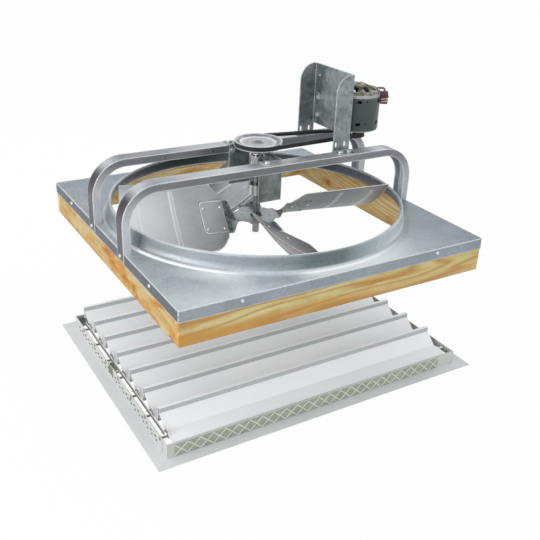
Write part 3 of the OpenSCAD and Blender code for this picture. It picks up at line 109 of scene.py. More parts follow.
class Finish:
    """A procedural finish: a material whose nodes are added and joined by short calls."""

    def __init__(self, name, metallic=0.0, roughness=0.5, specular=0.5):
        self.material = bpy.data.materials.new(name)
        self.material.use_nodes = True
        self.tree = self.material.node_tree
        self.tree.nodes.clear()
        self.face = self.add("ShaderNodeBsdfPrincipled", {
            "Metallic": metallic, "Roughness": roughness, "Specular IOR Level": specular})
        self.end = self.add("ShaderNodeOutputMaterial")
        self.join(self.face.outputs["BSDF"], self.end.inputs["Surface"])
        self.place = self.add("ShaderNodeTexCoord").outputs["Object"]

    def join(self, source, target):
        self.tree.links.new(source, target)

    def add(self, kind, inputs=None, **settings):
        return add_node(self.tree, kind, inputs, **settings)

    def placed(self, scale, shift=(0, 0, 0)):
        """Object coordinates, stretched and shifted."""
        return self.add("ShaderNodeMapping", {
            "Vector": self.place, "Scale": scale, "Location": shift}).outputs["Vector"]

    def noise(self, scale, detail=4.0, rough=0.55, at=None, bend=0.0):
        return self.add("ShaderNodeTexNoise", {
            "Vector": at or self.place, "Scale": scale, "Detail": detail, "Roughness": rough,
            "Distortion": bend}).outputs["Fac"]

    def cells(self, scale, at):
        return self.add("ShaderNodeTexVoronoi", {"Vector": at, "Scale": scale}).outputs["Color"]

    def ramp(self, source, stops):
        node = self.add("ShaderNodeValToRGB", {"Fac": source})
        marks = node.color_ramp.elements
        while len(marks) < len(stops):
            marks.new(0.5)
        for mark, (place, colour) in zip(marks, stops):
            mark.position = place
            mark.color = colour
        return node.outputs["Color"]

    def two_tone(self, source, dark, light):
        """From dark to light over the middle of the source."""
        return self.ramp(source, [(TONE_LOW, dark), (TONE_HIGH, light)])

    def spread(self, source, low, high):
        """From low to high over the middle of the source."""
        return self.levels(source, TONE_LOW, TONE_HIGH, low, high)

    def levels(self, source, low, high, to_low=0.0, to_high=1.0):
        """The source from low to high, brought to another span and held at its ends."""
        return self.add("ShaderNodeMapRange", {
            "Value": source, "From Min": low, "From Max": high, "To Min": to_low, "To Max": to_high},
            clamp=True).outputs["Result"]

    def math(self, how, a, b=0.5):
        return self.add("ShaderNodeMath", {0: a, 1: b}, operation=how).outputs["Value"]

    def times(self, *shares):
        """Product of shares."""
        whole = shares[0]
        for share in shares[1:]:
            whole = self.math("MULTIPLY", whole, share)
        return whole

    def vector(self, how, a, b=(0, 0, 0)):
        return self.add("ShaderNodeVectorMath", {0: a, 1: b}, operation=how).outputs

    def mix(self, share, a, b, how="MIX"):
        node = self.add("ShaderNodeMix", {0: share, 6: a, 7: b}, data_type="RGBA", blend_type=how)
        return node.outputs[2]

    def parts(self, vector):
        return self.add("ShaderNodeSeparateXYZ", {"Vector": vector}).outputs

    def bump(self, height, depth, strength=1.0, rounding=0.0):
        """Relief from a height; with a rounding, corners catch the light as folded or broken edges do."""
        node = self.add("ShaderNodeBump", {"Height": height, "Distance": depth, "Strength": strength})
        if rounding:
            self.join(self.rounded(rounding), node.inputs["Normal"])
        self.join(node.outputs["Normal"], self.face.inputs["Normal"])

    def rounded(self, radius):
        return self.add("ShaderNodeBevel", {"Radius": radius}, samples=6).outputs["Normal"]

    def edge(self, radius, near=0.03, full=0.3):
        """Share of a corner within the radius, where painted highlights go on edges."""
        flat = self.add("ShaderNodeNewGeometry").outputs["True Normal"]
        turn = self.vector("DOT_PRODUCT", self.rounded(radius), flat)["Value"]
        return self.levels(turn, 1 - near, 1 - full)

    def facing(self):
        """Parts of the surface's own direction, on the piece."""
        return self.parts(self.add("ShaderNodeTexCoord").outputs["Normal"])

    def far_from_axis(self, x, y):
        """Distance to an upright axis."""
        at = self.parts(self.place)
        across = self.math("POWER", self.math("SUBTRACT", at["X"], x), 2.0)
        deep = self.math("POWER", self.math("SUBTRACT", at["Y"], y), 2.0)
        return self.math("SQRT", self.math("ADD", across, deep))

    def set(self, **inputs):
        for key, value in inputs.items():
            socket = self.face.inputs[key.replace("_", " ")]
            if isinstance(value, bpy.types.NodeSocket):
                self.join(value, socket)
            else:
                socket.default_value = value


def galvanised(name, dark, light, spangle=110, cloud=5.0, metallic=0.75, rough=(0.34, 0.52), tint=None,
               weights=(0.22, 0.12, 0.5), rim=(0.0022, 0.7), painted_tones=None):
    """Zinc-coated sheet: small crystals of uneven tone under soft clouds, with painted highlights on its
    edges.
    """
    f = Finish(name, metallic=metallic)
    ripple = f.add("ShaderNodeTexNoise", {"Vector": f.place, "Scale": 30.0}).outputs["Color"]
    warped = f.add("ShaderNodeMix", {0: 0.012, 4: f.place, 5: ripple}, data_type="VECTOR").outputs[1]
    crystal = f.parts(f.cells(spangle, warped))["X"]
    fine = f.parts(f.cells(spangle * 2.7, warped))["Y"]
    clouds = f.levels(f.noise(cloud, detail=6, rough=0.6), TONE_LOW, TONE_HIGH)
    grain = f.math("ADD", f.times(crystal, weights[0]), f.times(fine, weights[1]))
    shade = f.math("ADD", grain, f.times(clouds, weights[2]))
    whole = sum(weights)
    colour = f.ramp(shade, [(0.15 * whole, dark), (0.85 * whole, light)])
    if tint:
        patches = f.levels(f.noise(cloud * 0.6, detail=3), 0.45, 0.65, 0.0, 0.5)
        colour = f.mix(patches, colour, tint, "MULTIPLY")
    # Painted highlights and shade from the given painted-light function; metallic drops where its painted
    # highlights lie.
    if painted_tones:
        colour, pale = painted_tones(f, colour)
        f.set(Metallic=f.levels(pale, 0.0, 1.0, metallic, 0.05))
    # Painted highlight: near white on the edges, within the rim's radius and at the rim's strength.
    colour = f.mix(f.times(f.edge(rim[0], 0.01, 0.12), rim[1]), colour, paint(250, 251, 252))
    roughness = f.math("ADD", f.times(crystal, rough[1] - rough[0]), rough[0])
    f.set(Base_Color=colour, Roughness=roughness)
    relief = f.math("ADD", crystal, f.times(f.noise(400, detail=2), 0.6))
    f.bump(relief, 0.00003, 0.3, rounding=rim[0])
    return f.material


# Painted highlights and shade on the panel: where each comes in and where it is full, with heights counted
# from the flat sheet

PALE_STRIP_Y = (-0.3, -0.43)
DIM_BACK_Y = (0.0, 0.4)
DIM_RIGHT_X = (0.16, 0.34)
GLINT_GAP_X = -0.2
GLINT_GAP = (0.03, 0.1)
GLINT_END_X = (0.24, 0.08)
GLINT_FOOT = (0.0001, 0.001)
GLINT_TOP = (0.0055, 0.002)
GLOW_R = (RING_FOOT_R + 0.05, RING_FOOT_R)
GLOW_Y = (-0.22, -0.32)
WALL_FOOT = (0.006, 0.009)
LEFT_WALL_X = (-0.2, -0.34)
FRONT_WALL_LEFT_X = (-0.3, -0.1)
FRONT_WALL_RIGHT_X = (0.12, -0.02)
BACK_WALL_Y = (0.08, 0.16)
RIGHT_WALL_X = (0.04, 0.18)
SKIRT_DROP = (-0.0015, -0.003)


def panel_painted_light(f, colour):
    """The panel's painted highlights and shade, and the share that is a painted glint and not bare zinc.

    Faces turned left carry painted shade. The flat sheet is paler in front as a painted highlight, and dimmer
    at its back and right as painted shade. A painted glint with a gap runs along the foot of the ring. The
    ring's wall has painted highlights at both ends and painted shade in front and behind, and the front skirt
    has painted shade.
    """
    at, way = f.parts(f.place), f.facing()
    rise = f.math("SUBTRACT", at["Z"], PANEL_Z)
    # Painted shade on faces turned left.
    colour = f.mix(f.levels(way["X"], -0.35, -0.9), colour, paint(124, 124, 131), "MULTIPLY")

    flat = f.levels(way["Z"], 0.9, 0.99)
    past_gap = f.math("ABSOLUTE", f.math("SUBTRACT", at["X"], GLINT_GAP_X))
    painted_glint = f.times(f.levels(past_gap, *GLINT_GAP, 0.1, 1.0), f.levels(at["X"], *GLINT_END_X))
    # Painted highlight on the front of the flat sheet, painted shade at its right end and at its back.
    painted_front_highlight = f.times(flat, painted_glint, f.levels(at["Y"], *PALE_STRIP_Y, 0.0, 0.28))
    colour = f.mix(painted_front_highlight, colour, paint(248, 252, 253))
    painted_shade_right = f.times(flat, f.levels(at["X"], *DIM_RIGHT_X, 0.0, 0.8))
    colour = f.mix(painted_shade_right, colour, paint(216, 220, 222), "MULTIPLY")
    painted_shade_back = f.times(flat, f.levels(at["Y"], *DIM_BACK_Y, 0.0, 0.7))
    colour = f.mix(painted_shade_back, colour, paint(206, 208, 212), "MULTIPLY")

    # Painted glint along the ring's foot, and a painted glow of light on the flat sheet near the ring.
    painted_foot_highlight = f.times(f.levels(rise, *GLINT_FOOT), f.levels(rise, *GLINT_TOP), f.levels(way["Y"], 0.0, -0.12))
    near_ring = f.levels(f.far_from_axis(FAN_X, 0.0), *GLOW_R)
    glow = f.times(flat, near_ring, f.levels(at["Y"], *GLOW_Y, 0.0, 0.75))
    painted_foot_highlight = f.times(painted_glint, f.math("MAXIMUM", painted_foot_highlight, glow))

    # Painted highlights at the ring wall's left and right ends, painted shade on its front and back.
    wall = f.levels(rise, *WALL_FOOT)
    painted_left_wall_highlight = f.times(wall, f.levels(at["X"], *LEFT_WALL_X, 0.0, 0.3))
    colour = f.mix(painted_left_wall_highlight, colour, paint(226, 232, 232))
    painted_front_wall_shade = f.times(wall, f.levels(way["Y"], -0.3, -0.7), f.levels(at["X"], *FRONT_WALL_LEFT_X),
                         f.levels(at["X"], *FRONT_WALL_RIGHT_X))
    colour = f.mix(painted_front_wall_shade, colour, paint(146, 154, 153), "MULTIPLY")
    painted_back_wall_shade = f.times(wall, f.levels(way["Y"], -0.2, -0.5), f.levels(at["Y"], *BACK_WALL_Y))
    colour = f.mix(painted_back_wall_shade, colour, paint(140, 142, 148), "MULTIPLY")
    painted_right_wall_highlight = f.times(wall, f.levels(at["X"], *RIGHT_WALL_X, 0.0, 0.48), f.levels(way["X"], 0.1, 0.4))
    colour = f.mix(painted_right_wall_highlight, colour, paint(240, 248, 247))

    # Painted shade on the front skirt, then the glint painted near white.
    skirt = f.times(f.levels(way["Y"], -0.9, -0.98), f.levels(rise, *SKIRT_DROP))
    colour = f.mix(skirt, colour, paint(206, 207, 212), "MULTIPLY")
    colour = f.mix(f.times(painted_foot_highlight, 0.9), colour, paint(255, 255, 255))
    return colour, f.math("MAXIMUM", painted_foot_highlight, f.math("MAXIMUM", painted_left_wall_highlight, painted_right_wall_highlight))


RAIL_HIGH = (0.07, 0.15)        # above the sheet, where painted shade comes in on a rail's sides
RAIL_RIGHT = (-0.05, 0.35)      # right of the fan's axis, where painted light moves from the legs' flanges to their webs


def rolled_channel(name, dark, light, deep):
    """Zinc-coated channel with rolling streaks; painted highlights on its folds; painted shade on its sides
    under the arch's top.
    """
    f = Finish(name, metallic=0.6)
    streak = f.noise(1.0, detail=4, rough=0.6, at=f.placed(scale=(5, 190, 5)))
    cloud = f.noise(13, detail=5, rough=0.6)
    fine = f.noise(520, detail=2)
    shade = f.math("ADD", f.times(streak, 0.5), f.times(cloud, 0.36))
    shade = f.math("ADD", shade, f.times(fine, 0.14))
    colour = f.ramp(shade, [(0.32, dark), (0.68, light)])
    way, at = f.facing(), f.parts(f.place)
    side = f.levels(f.math("ABSOLUTE", way["Y"]), 0.75, 0.95)
    high = f.levels(at["Z"], PANEL_Z + RAIL_HIGH[0], PANEL_Z + RAIL_HIGH[1])
    right_half = f.levels(at["X"], FAN_X + RAIL_RIGHT[0], FAN_X + RAIL_RIGHT[1])
    # Painted shade: the deep colour on the front and back sides, high under the arch's top.
    colour = f.mix(f.times(side, high, 0.75), colour, deep)
    # Painted highlight on the legs' flanges left of the fan's axis.
    painted_leg_highlight = f.times(side, f.math("SUBTRACT", 1.0, f.math("MAXIMUM", high, right_half)))
    colour = f.mix(f.times(painted_leg_highlight, 0.6), colour, paint(232, 234, 238))
    # Painted shade on webs turned left of the axis, painted light on those right of it, where the webs are
    # less metallic.
    web = f.levels(way["X"], -0.3, -0.8)
    painted_web_shade = f.times(web, f.math("SUBTRACT", 1.0, right_half))
    colour = f.mix(painted_web_shade, colour, paint(104, 102, 110), "MULTIPLY")
    painted_web_light = f.times(web, right_half)
    colour = f.mix(f.times(painted_web_light, 0.9), colour, paint(240, 241, 242))
    # Painted highlight along the folded edges.
    colour = f.mix(f.times(f.edge(0.0042, 0.01, 0.14), 0.95), colour, paint(255, 255, 255))
    f.set(Base_Color=colour, Roughness=f.spread(cloud, 0.26, 0.42),
          Metallic=f.levels(painted_web_light, 0.0, 1.0, 0.6, 0.1))
    f.bump(f.math("ADD", streak, f.times(fine, 0.5)), 0.00003, 0.3, rounding=0.0022)
    return f.material


def pad_edge(f):
    """Signed distance to the rounded outline that a paddle presses through its blade, alike on all four."""
    turned = f.add("ShaderNodeVectorRotate", {
        "Vector": f.place, "Center": (FAN_X, 0, 0), "Angle": ROTOR_TURN}, rotation_type="Z_AXIS")
    at = f.parts(turned.outputs["Vector"])
    x, y = f.math("SUBTRACT", at["X"], FAN_X), at["Y"]
    wide, deep = f.math("ABSOLUTE", x), f.math("ABSOLUTE", y)
    along_x = f.math("GREATER_THAN", wide, deep)
    beside_x = f.times(y, f.math("SIGN", x))
    beside_y = f.times(x, f.times(f.math("SIGN", y), -1.0))
    across = f.math("ADD", f.times(along_x, beside_x), f.times(f.math("SUBTRACT", 1.0, along_x), beside_y))
    past = []
    for place, (middle, half) in ((f.math("MAXIMUM", wide, deep), PAD_REACH), (across, PAD_ACROSS)):
        past.append(f.math("SUBTRACT", f.math("ABSOLUTE", f.math("SUBTRACT", place, middle)), half))
    corner = f.add("ShaderNodeMath", {0: past[0], 1: past[1], 2: PAD_ROUND}, operation="SMOOTH_MAX")
    return corner.outputs["Value"]


BLADE_PAINTED_LIGHT = (-0.18, -0.34)      # left of the fan's axis, where painted light on a blade comes in and is full
BLADE_PAINTED_SHADE = (0.06, 0.16)       # right of the axis, where painted shade on a blade comes in and is full


def pressed_blade(name, dark, light):
    """Smooth zinc-coated blade: soft sheen, fine tooth, painted light and shade by side, painted highlights
    on beads and edges.
    """
    f = Finish(name, metallic=0.72)
    sheen = f.noise(4.5, detail=3, rough=0.45)
    fine = f.noise(620, detail=2)
    scuff = f.noise(1.0, detail=4, rough=0.65, at=f.placed(scale=(26, 90, 26)))
    shade = f.math("ADD", f.times(sheen, 0.62), f.times(scuff, 0.26))
    shade = f.math("ADD", shade, f.times(fine, 0.12))
    colour = f.ramp(shade, [(0.34, dark), (0.66, light)])
    at = f.parts(f.place)["X"]
    # Painted light on blades left of the fan's axis, painted shade on those right of it.
    pale = f.levels(at, FAN_X + BLADE_PAINTED_LIGHT[0], FAN_X + BLADE_PAINTED_LIGHT[1], 0.0, 0.8)
    colour = f.mix(pale, colour, paint(244, 245, 247))
    painted_blade_shade = f.levels(at, FAN_X + BLADE_PAINTED_SHADE[0], FAN_X + BLADE_PAINTED_SHADE[1], 0.0, 0.6)
    colour = f.mix(painted_blade_shade, colour, paint(104, 105, 107))
    # Painted highlight on the edges and the pressed beads.
    colour = f.mix(f.times(f.edge(0.004, 0.005, 0.08), 0.95), colour, paint(255, 255, 255))
    pad = pad_edge(f)
    # Painted highlight inside the pad's outline and painted shadow outside it, on upper faces, broken up by a
    # noise.
    wear = f.levels(f.noise(26, detail=2), 0.42, 0.56, 0.25, 1.0)
    upper = f.times(f.levels(f.facing()["Z"], 0.1, 0.3), wear)
    painted_pad_highlight = f.levels(f.math("ABSOLUTE", f.math("ADD", pad, PAD_BRIGHT)), *PAD_LINE, 0.0, 0.85)
    shadow = f.levels(f.math("ABSOLUTE", f.math("SUBTRACT", pad, PAD_SHADOW)), *PAD_LINE, 0.0, 0.45)
    colour = f.mix(f.times(upper, shadow), colour, paint(70, 72, 76))
    colour = f.mix(f.times(upper, painted_pad_highlight), colour, paint(252, 252, 252))
    f.set(Base_Color=colour, Roughness=f.spread(scuff, 0.3, 0.4))
    f.bump(f.math("ADD", fine, scuff), 0.00002, 0.25, rounding=0.002)
    return f.material


def bright_zinc(name, dark, light, rough=0.28, scale=60.0, metallic=1.0, rim=0.0008):
    """Zinc-plated steel, brighter and smoother than the sheet, with faint rolling marks and painted
    highlights on its corners.
    """
    f = Finish(name, metallic=metallic)
    soft = f.noise(scale, detail=5, rough=0.65)
    scratch = f.noise(600, detail=3, at=f.placed(scale=(1, 0.12, 0.12)))
    colour = f.two_tone(f.math("ADD", f.times(soft, 0.75), f.times(scratch, 0.25)), dark, light)
    # Painted highlight on corners.
    colour = f.mix(f.times(f.edge(rim), 0.6), colour, paint(250, 251, 252))
    f.set(Base_Color=colour, Roughness=f.spread(soft, rough, rough + 0.16))
    f.bump(scratch, 0.00002, 0.4, rounding=rim)
    return f.material


def spun_pulley(name, stops):
    """Pressed and turned pulley: tone by distance from the shaft, painted highlight rings, fine rings all
    over.
    """
    f = Finish(name, metallic=0.7)
    far = f.far_from_axis(FAN_X, 0.0)
    rings = f.math("PINGPONG", f.times(far, 700.0), 0.5)
    soft = f.noise(60, detail=5)
    colour = f.ramp(f.math("DIVIDE", far, PULLEY_R), stops)
    colour = f.mix(f.times(rings, 0.35), colour, paint(120, 122, 126), "MULTIPLY")
    colour = f.mix(f.levels(soft, 0.4, 0.7, 0.0, 0.3), colour, paint(236, 238, 240))
    f.set(Base_Color=colour, Roughness=f.spread(soft, 0.28, 0.42))
    f.bump(rings, 0.00006, 0.4)
    return f.material


def turned_steel(name, dark, light, rough=0.25, metallic=1.0):
    """Machined steel with fine rings round its upright axis."""
    f = Finish(name, metallic=metallic)
    rings = f.add("ShaderNodeTexWave", {"Vector": f.place, "Scale": 260.0, "Distortion": 2.0, "Detail": 2.0},
                  bands_direction="Z").outputs["Fac"]
    soft = f.noise(45, detail=4)
    f.set(Base_Color=f.two_tone(f.times(f.math("ADD", rings, soft), 0.5), dark, light),
          Roughness=f.spread(soft, rough, rough + 0.15))
    f.bump(rings, 0.00003, 0.3)
    return f.material


def enamel(name, dark, light, rough, scale, peel=0.00003):
    """Baked enamel: almost even, with orange peel and the faintest dust."""
    f = Finish(name, specular=0.45)
    dust = f.noise(scale, detail=6, rough=0.6)
    fine = f.noise(260, detail=2)
    f.set(Base_Color=f.two_tone(f.math("ADD", f.times(dust, 0.8), f.times(fine, 0.2)), dark, light),
          Roughness=f.spread(dust, rough[0], rough[1]))
    f.bump(fine, peel, 0.5)
    return f.material


LOW_BAND_Z = (0.389, 0.376)     # heights between which the front board's darker low band comes in
LOW_BAND_X = (-0.25, 0.1)       # the band is strong left of the first and weak right of the second


def pine(name, along, seed, pale, straw, patch, ring, knots=(), low_band=0.0):
    """Sawn pine: pale and straw bands, resin patches, faint growth rings, fibres, dark flecks and knots."""
    f = Finish(name, specular=0.3)

    def stretch(length, across):
        return (length, across, across) if along == "X" else (across, length, across)

    def streaks(length, across, shift, detail=4.0, rough=0.6, bend=0.0):
        """Noise drawn out along the board."""
        return f.noise(1.0, detail, rough, f.placed(stretch(length, across), shift), bend)

    shift = (seed * 1.7, seed * 0.9, seed * 2.3)
    flow = streaks(1.1, 11, shift, 2.0, 0.4, 0.2)
    rings = f.times(f.math("PINGPONG", f.times(flow, 15.0), 0.5), 2.0)
    fibre = streaks(16, 560, shift)
    board = streaks(4.2, 21, (seed * 3.1, seed, seed))
    late = f.levels(rings, 0.35, 0.95)
    wood = f.mix(f.levels(board, 0.36, 0.62), pale, straw)
    wood = f.mix(f.times(late, ring), wood, paint(176, 122, 54))
    resin = streaks(11, 26, (seed, seed * 5.3, seed), 5.0, 0.62, 0.5)
    wood = f.mix(f.levels(resin, 0.51, 0.55, 0.0, patch * 0.9), wood, paint(190, 134, 46))
    wood = f.mix(f.levels(resin, 0.6, 0.66, 0.0, patch * 0.7), wood, paint(150, 94, 36))
    fleck = streaks(34, 120, (seed * 2, seed, seed * 4), 3.0, 0.7)
    wood = f.mix(f.levels(fleck, 0.63, 0.68, 0.0, 0.12 + 0.6 * patch), wood, paint(104, 64, 28))
    wood = f.mix(f.levels(fibre, 0.35, 0.75, 0.0, 0.32), wood, paint(186, 158, 112), "MULTIPLY")
    if low_band:
        at = f.parts(f.place)
        height = f.math("ADD", at["Z"], f.times(f.math("SUBTRACT", flow, 0.5), 0.03))
        band = f.mix(f.levels(flow, 0.35, 0.65), paint(196, 146, 66), paint(176, 118, 46))
        share = f.levels(at["X"], *LOW_BAND_X, low_band, low_band * 0.35)
        wood = f.mix(f.times(f.levels(height, *LOW_BAND_Z), share), wood, band)
    for place, size in knots:
        gap = f.vector("SUBTRACT", f.place, place)["Vector"]
        gap = f.vector("MULTIPLY", gap, stretch(0.62, 1.0))["Vector"]
        far = f.vector("LENGTH", gap)["Value"]
        far = f.math("ADD", far, f.times(f.math("SUBTRACT", f.noise(90), 0.5), size * 0.8))
        wood = f.mix(f.levels(far, size * 0.6, size, 1.0, 0.0), wood, paint(112, 62, 26))
        wood = f.mix(f.levels(far, size, size * 2.4, 0.55, 0.0), wood, paint(190, 118, 50))
    f.set(Base_Color=wood, Roughness=f.spread(fibre, 0.5, 0.68))
    f.bump(f.math("ADD", f.times(fibre, 0.7), f.times(late, 0.4)), 0.0002, 0.5, rounding=0.0015)
    return f.material


def louver_enamel(name, top, lip, pin):
    """White enamel, with grey painted shade on the lip's front face and dark pins past the leaf's left end.
    """
    f = Finish(name, specular=0.4)
    dust = f.noise(2.6, detail=6, rough=0.6)
    fine = f.noise(260, detail=2)
    colour = f.two_tone(f.math("ADD", f.times(dust, 0.85), f.times(fine, 0.15)), top[0], top[1])
    painted_lip_shade = f.two_tone(f.noise(380, detail=4, rough=0.7), lip[0], lip[1])
    at = f.parts(f.place)
    # Painted shade on the lip's front face.
    front = f.times(f.levels(f.facing()["Y"], -0.9, -0.97),
                    f.levels(at["Z"], LOUVER_LIP_Z - FADE, LOUVER_LIP_Z))
    colour = f.mix(front, colour, painted_lip_shade)
    colour = f.mix(f.levels(at["X"], LOUVER_LEFT, LOUVER_LEFT - 0.6 * FADE), colour, pin)
    f.set(Base_Color=colour, Roughness=f.levels(front, 0.0, 1.0, 0.42, 0.85))
    f.bump(fine, 0.00003, 0.5, rounding=0.0008)
    return f.material


def frame_enamel(name, flange, collar):
    """White enamel of the shutter's frame: the upright collar a little warmer than the flange, and greyer as
    painted shade.
    """
    f = Finish(name, specular=0.4)
    dust = f.noise(3.0, detail=6, rough=0.6)
    fine = f.noise(260, detail=2)
    low = f.two_tone(dust, flange[0], flange[1])
    high = f.two_tone(dust, collar[0], collar[1])
    # The collar's colours: a warmer tint, and greyer as painted shade on its upright walls.
    colour = f.mix(f.levels(f.parts(f.place)["Z"], FLANGE_TOP, FLANGE_TOP + FADE), low, high)
    f.set(Base_Color=colour, Roughness=f.spread(dust, 0.4, 0.52))
    f.bump(fine, 0.00003, 0.4, rounding=0.001)
    return f.material


def link_enamel(name, top, side):
    """Enamelled bar: pale worn top, painted shade on its sides."""
    f = Finish(name, specular=0.4)
    wear = f.noise(26, detail=6, rough=0.65)
    pale = f.two_tone(wear, top[0], top[1])
    # Painted shade on the bar's sides.
    side_on = f.math("ADD", f.math("ABSOLUTE", f.facing()["X"]), f.times(wear, 0.2))
    painted_side_shade = f.levels(side_on, 0.6, 0.9, 0.0, 0.9)
    f.set(Base_Color=f.mix(painted_side_shade, pale, side), Roughness=f.spread(wear, 0.42, 0.6))
    f.bump(wear, 0.00005, 0.4, rounding=0.0006)
    return f.material


def bell_coat(name, dark, light, rim):
    """Painted end bell: dark, greenish and beige spokes over a light rim."""
    f = Finish(name, metallic=0.3)
    blot = f.noise(85, detail=5, rough=0.7)
    colour = f.ramp(blot, [(0.4, dark), (0.6, light)])
    under = f.levels(f.parts(f.place)["Z"], BELL_RIM_TOP, BELL_RIM_TOP - FADE)
    colour = f.mix(under, colour, f.two_tone(f.noise(60, detail=4), rim[0], rim[1]))
    f.set(Base_Color=colour, Roughness=f.spread(blot, 0.34, 0.5))
    f.bump(blot, 0.00012, 0.5, rounding=0.001)
    return f.material


def rubber(name):
    """Belt rubber with its wrapped cloth showing."""
    f = Finish(name, specular=0.35)
    weave = f.noise(900, detail=2)
    wear = f.noise(30, detail=5, rough=0.7)
    f.set(Base_Color=f.ramp(wear, [(0.3, paint(24, 24, 26)), (0.75, paint(56, 56, 58))]),
          Roughness=f.spread(wear, 0.48, 0.7))
    f.bump(weave, 0.00008, 0.5)
    return f.material


def moulded(name, dark, light, rough=0.42):
    """Moulded plastic, faintly mottled."""
    f = Finish(name, specular=0.5)
    soft = f.noise(70, detail=4)
    f.set(Base_Color=f.two_tone(soft, dark, light), Roughness=f.spread(soft, rough, rough + 0.12))
    f.bump(f.noise(700, detail=2), 0.00003, 0.4)
    return f.material


def iron(name, dark, light, rust, metallic=0.4):
    """Cast iron with a thin coat of rust."""
    f = Finish(name, metallic=metallic, specular=0.4)
    grain = f.noise(180, detail=6, rough=0.7)
    patches = f.levels(f.noise(38, detail=5, rough=0.7), 0.45, 0.62)
    metal = f.two_tone(grain, dark, light)
    f.set(Base_Color=f.mix(patches, metal, rust), Roughness=f.levels(patches, 0, 1, 0.42, 0.75))
    f.bump(grain, 0.00012, 0.6)
    return f.material


def copper(name):
    """Varnished copper wire, darkened as painted shade inside the motor."""
    f = Finish(name, metallic=0.85)
    soft = f.noise(220, detail=4)
    f.set(Base_Color=f.two_tone(soft, paint(30, 18, 13), paint(58, 34, 22)),
          Roughness=f.spread(soft, 0.25, 0.42), Coat_Weight=0.6, Coat_Roughness=0.15)
    f.bump(soft, 0.00005, 0.4)
    return f.material


def laminations(name):
    """Stacked steel sheets seen on edge."""
    f = Finish(name, metallic=0.8)
    stack = f.add("ShaderNodeTexWave", {"Vector": f.place, "Scale": 420.0, "Distortion": 0.4},
                  bands_direction="Z").outputs["Fac"]
    soft = f.noise(60, detail=4)
    shade = f.times(f.math("ADD", stack, soft), 0.5)
    f.set(Base_Color=f.two_tone(shade, paint(44, 46, 50), paint(92, 94, 98)),
          Roughness=f.spread(soft, 0.38, 0.55))
    f.bump(stack, 0.00008, 0.5)
    return f.material


# Finishes of the real pieces

PANEL = galvanised("panel_galvanised", paint(168, 177, 181), paint(210, 217, 220), tint=paint(214, 228, 224),
                   cloud=3.2, metallic=0.62, weights=(0.2, 0.2, 0.5), rim=(0.004, 0.9), painted_tones=panel_painted_light)
# The last colour is the painted shade on the rails' sides under the arch's top.
RAIL = rolled_channel("rail_galvanised", paint(138, 141, 146), paint(206, 209, 213), paint(104, 106, 112))
BRACKET = galvanised("bracket_galvanised", paint(104, 112, 114), paint(172, 178, 180), spangle=95, cloud=16,
                     rough=(0.32, 0.5), tint=paint(196, 216, 206), rim=(0.0024, 0.75))
BLADE = pressed_blade("blade_galvanised", paint(150, 151, 154), paint(184, 184, 186))
SPIDER = bright_zinc("spider_zinc", paint(66, 72, 76), paint(168, 174, 177), rough=0.24, scale=95,
                     metallic=0.8, rim=0.001)
FASTENER = bright_zinc("fastener_zinc", paint(190, 193, 196), paint(240, 242, 243), rough=0.2, scale=140,
                       metallic=0.7)
# Tones by share of the pulley's radius; the near-white bands at 0.73 and 0.97 are painted highlights on the
# step and the rim.
PULLEY = spun_pulley("pulley_zinc", [
    (0.13, paint(84, 84, 88)), (0.2, paint(128, 130, 134)), (0.33, paint(150, 152, 156)),
    (0.52, paint(136, 138, 142)), (0.66, paint(164, 166, 170)), (0.73, paint(244, 245, 246)),
    (0.79, paint(118, 120, 124)), (0.9, paint(128, 130, 134)), (0.97, paint(214, 216, 218))])
BEARING = turned_steel("bearing_steel", paint(112, 114, 118), paint(236, 238, 240), rough=0.16, metallic=0.9)
SHAFT = turned_steel("shaft_steel", paint(66, 66, 70), paint(176, 176, 180), rough=0.22)
HUB = turned_steel("hub_steel", paint(78, 80, 84), paint(148, 150, 154), rough=0.3)
BLACK_STEEL = iron("black_screw", paint(26, 26, 28), paint(58, 58, 62), paint(48, 44, 42))
RACE = turned_steel("race_steel", paint(180, 182, 186), paint(232, 234, 236), rough=0.1)
BELT = rubber("belt_rubber")
MOTOR = enamel("motor_enamel", paint(50, 60, 58), paint(76, 88, 86), (0.3, 0.44), 9, peel=0.00005)
BELL = bell_coat("bell_coat", paint(62, 68, 62), paint(158, 154, 134),
                 (paint(150, 151, 154), paint(176, 177, 178)))
LOW_BELL = enamel("bottom_bell_coat", paint(140, 147, 147), paint(186, 191, 190), (0.34, 0.5), 20)
CRADLE = galvanised("cradle_galvanised", paint(92, 98, 100), paint(146, 152, 154), spangle=95, cloud=16)
WINDING = copper("winding_copper")
STACK = laminations("stator_stack")
CAST_PULLEY = iron("motor_pulley_iron", paint(70, 22, 18), paint(132, 44, 34), paint(96, 34, 26),
                   metallic=0.1)
SHUTTER = frame_enamel("shutter_enamel", (paint(206, 207, 209), paint(216, 216, 218)),
                       (paint(188, 190, 186), paint(204, 205, 200)))
# The second pair of colours is the painted shade on the lips' front faces.
LEAF = louver_enamel("louver_enamel", (paint(236, 237, 238), paint(244, 244, 245)),
                     (paint(176, 180, 180), paint(192, 196, 196)), paint(150, 150, 146))
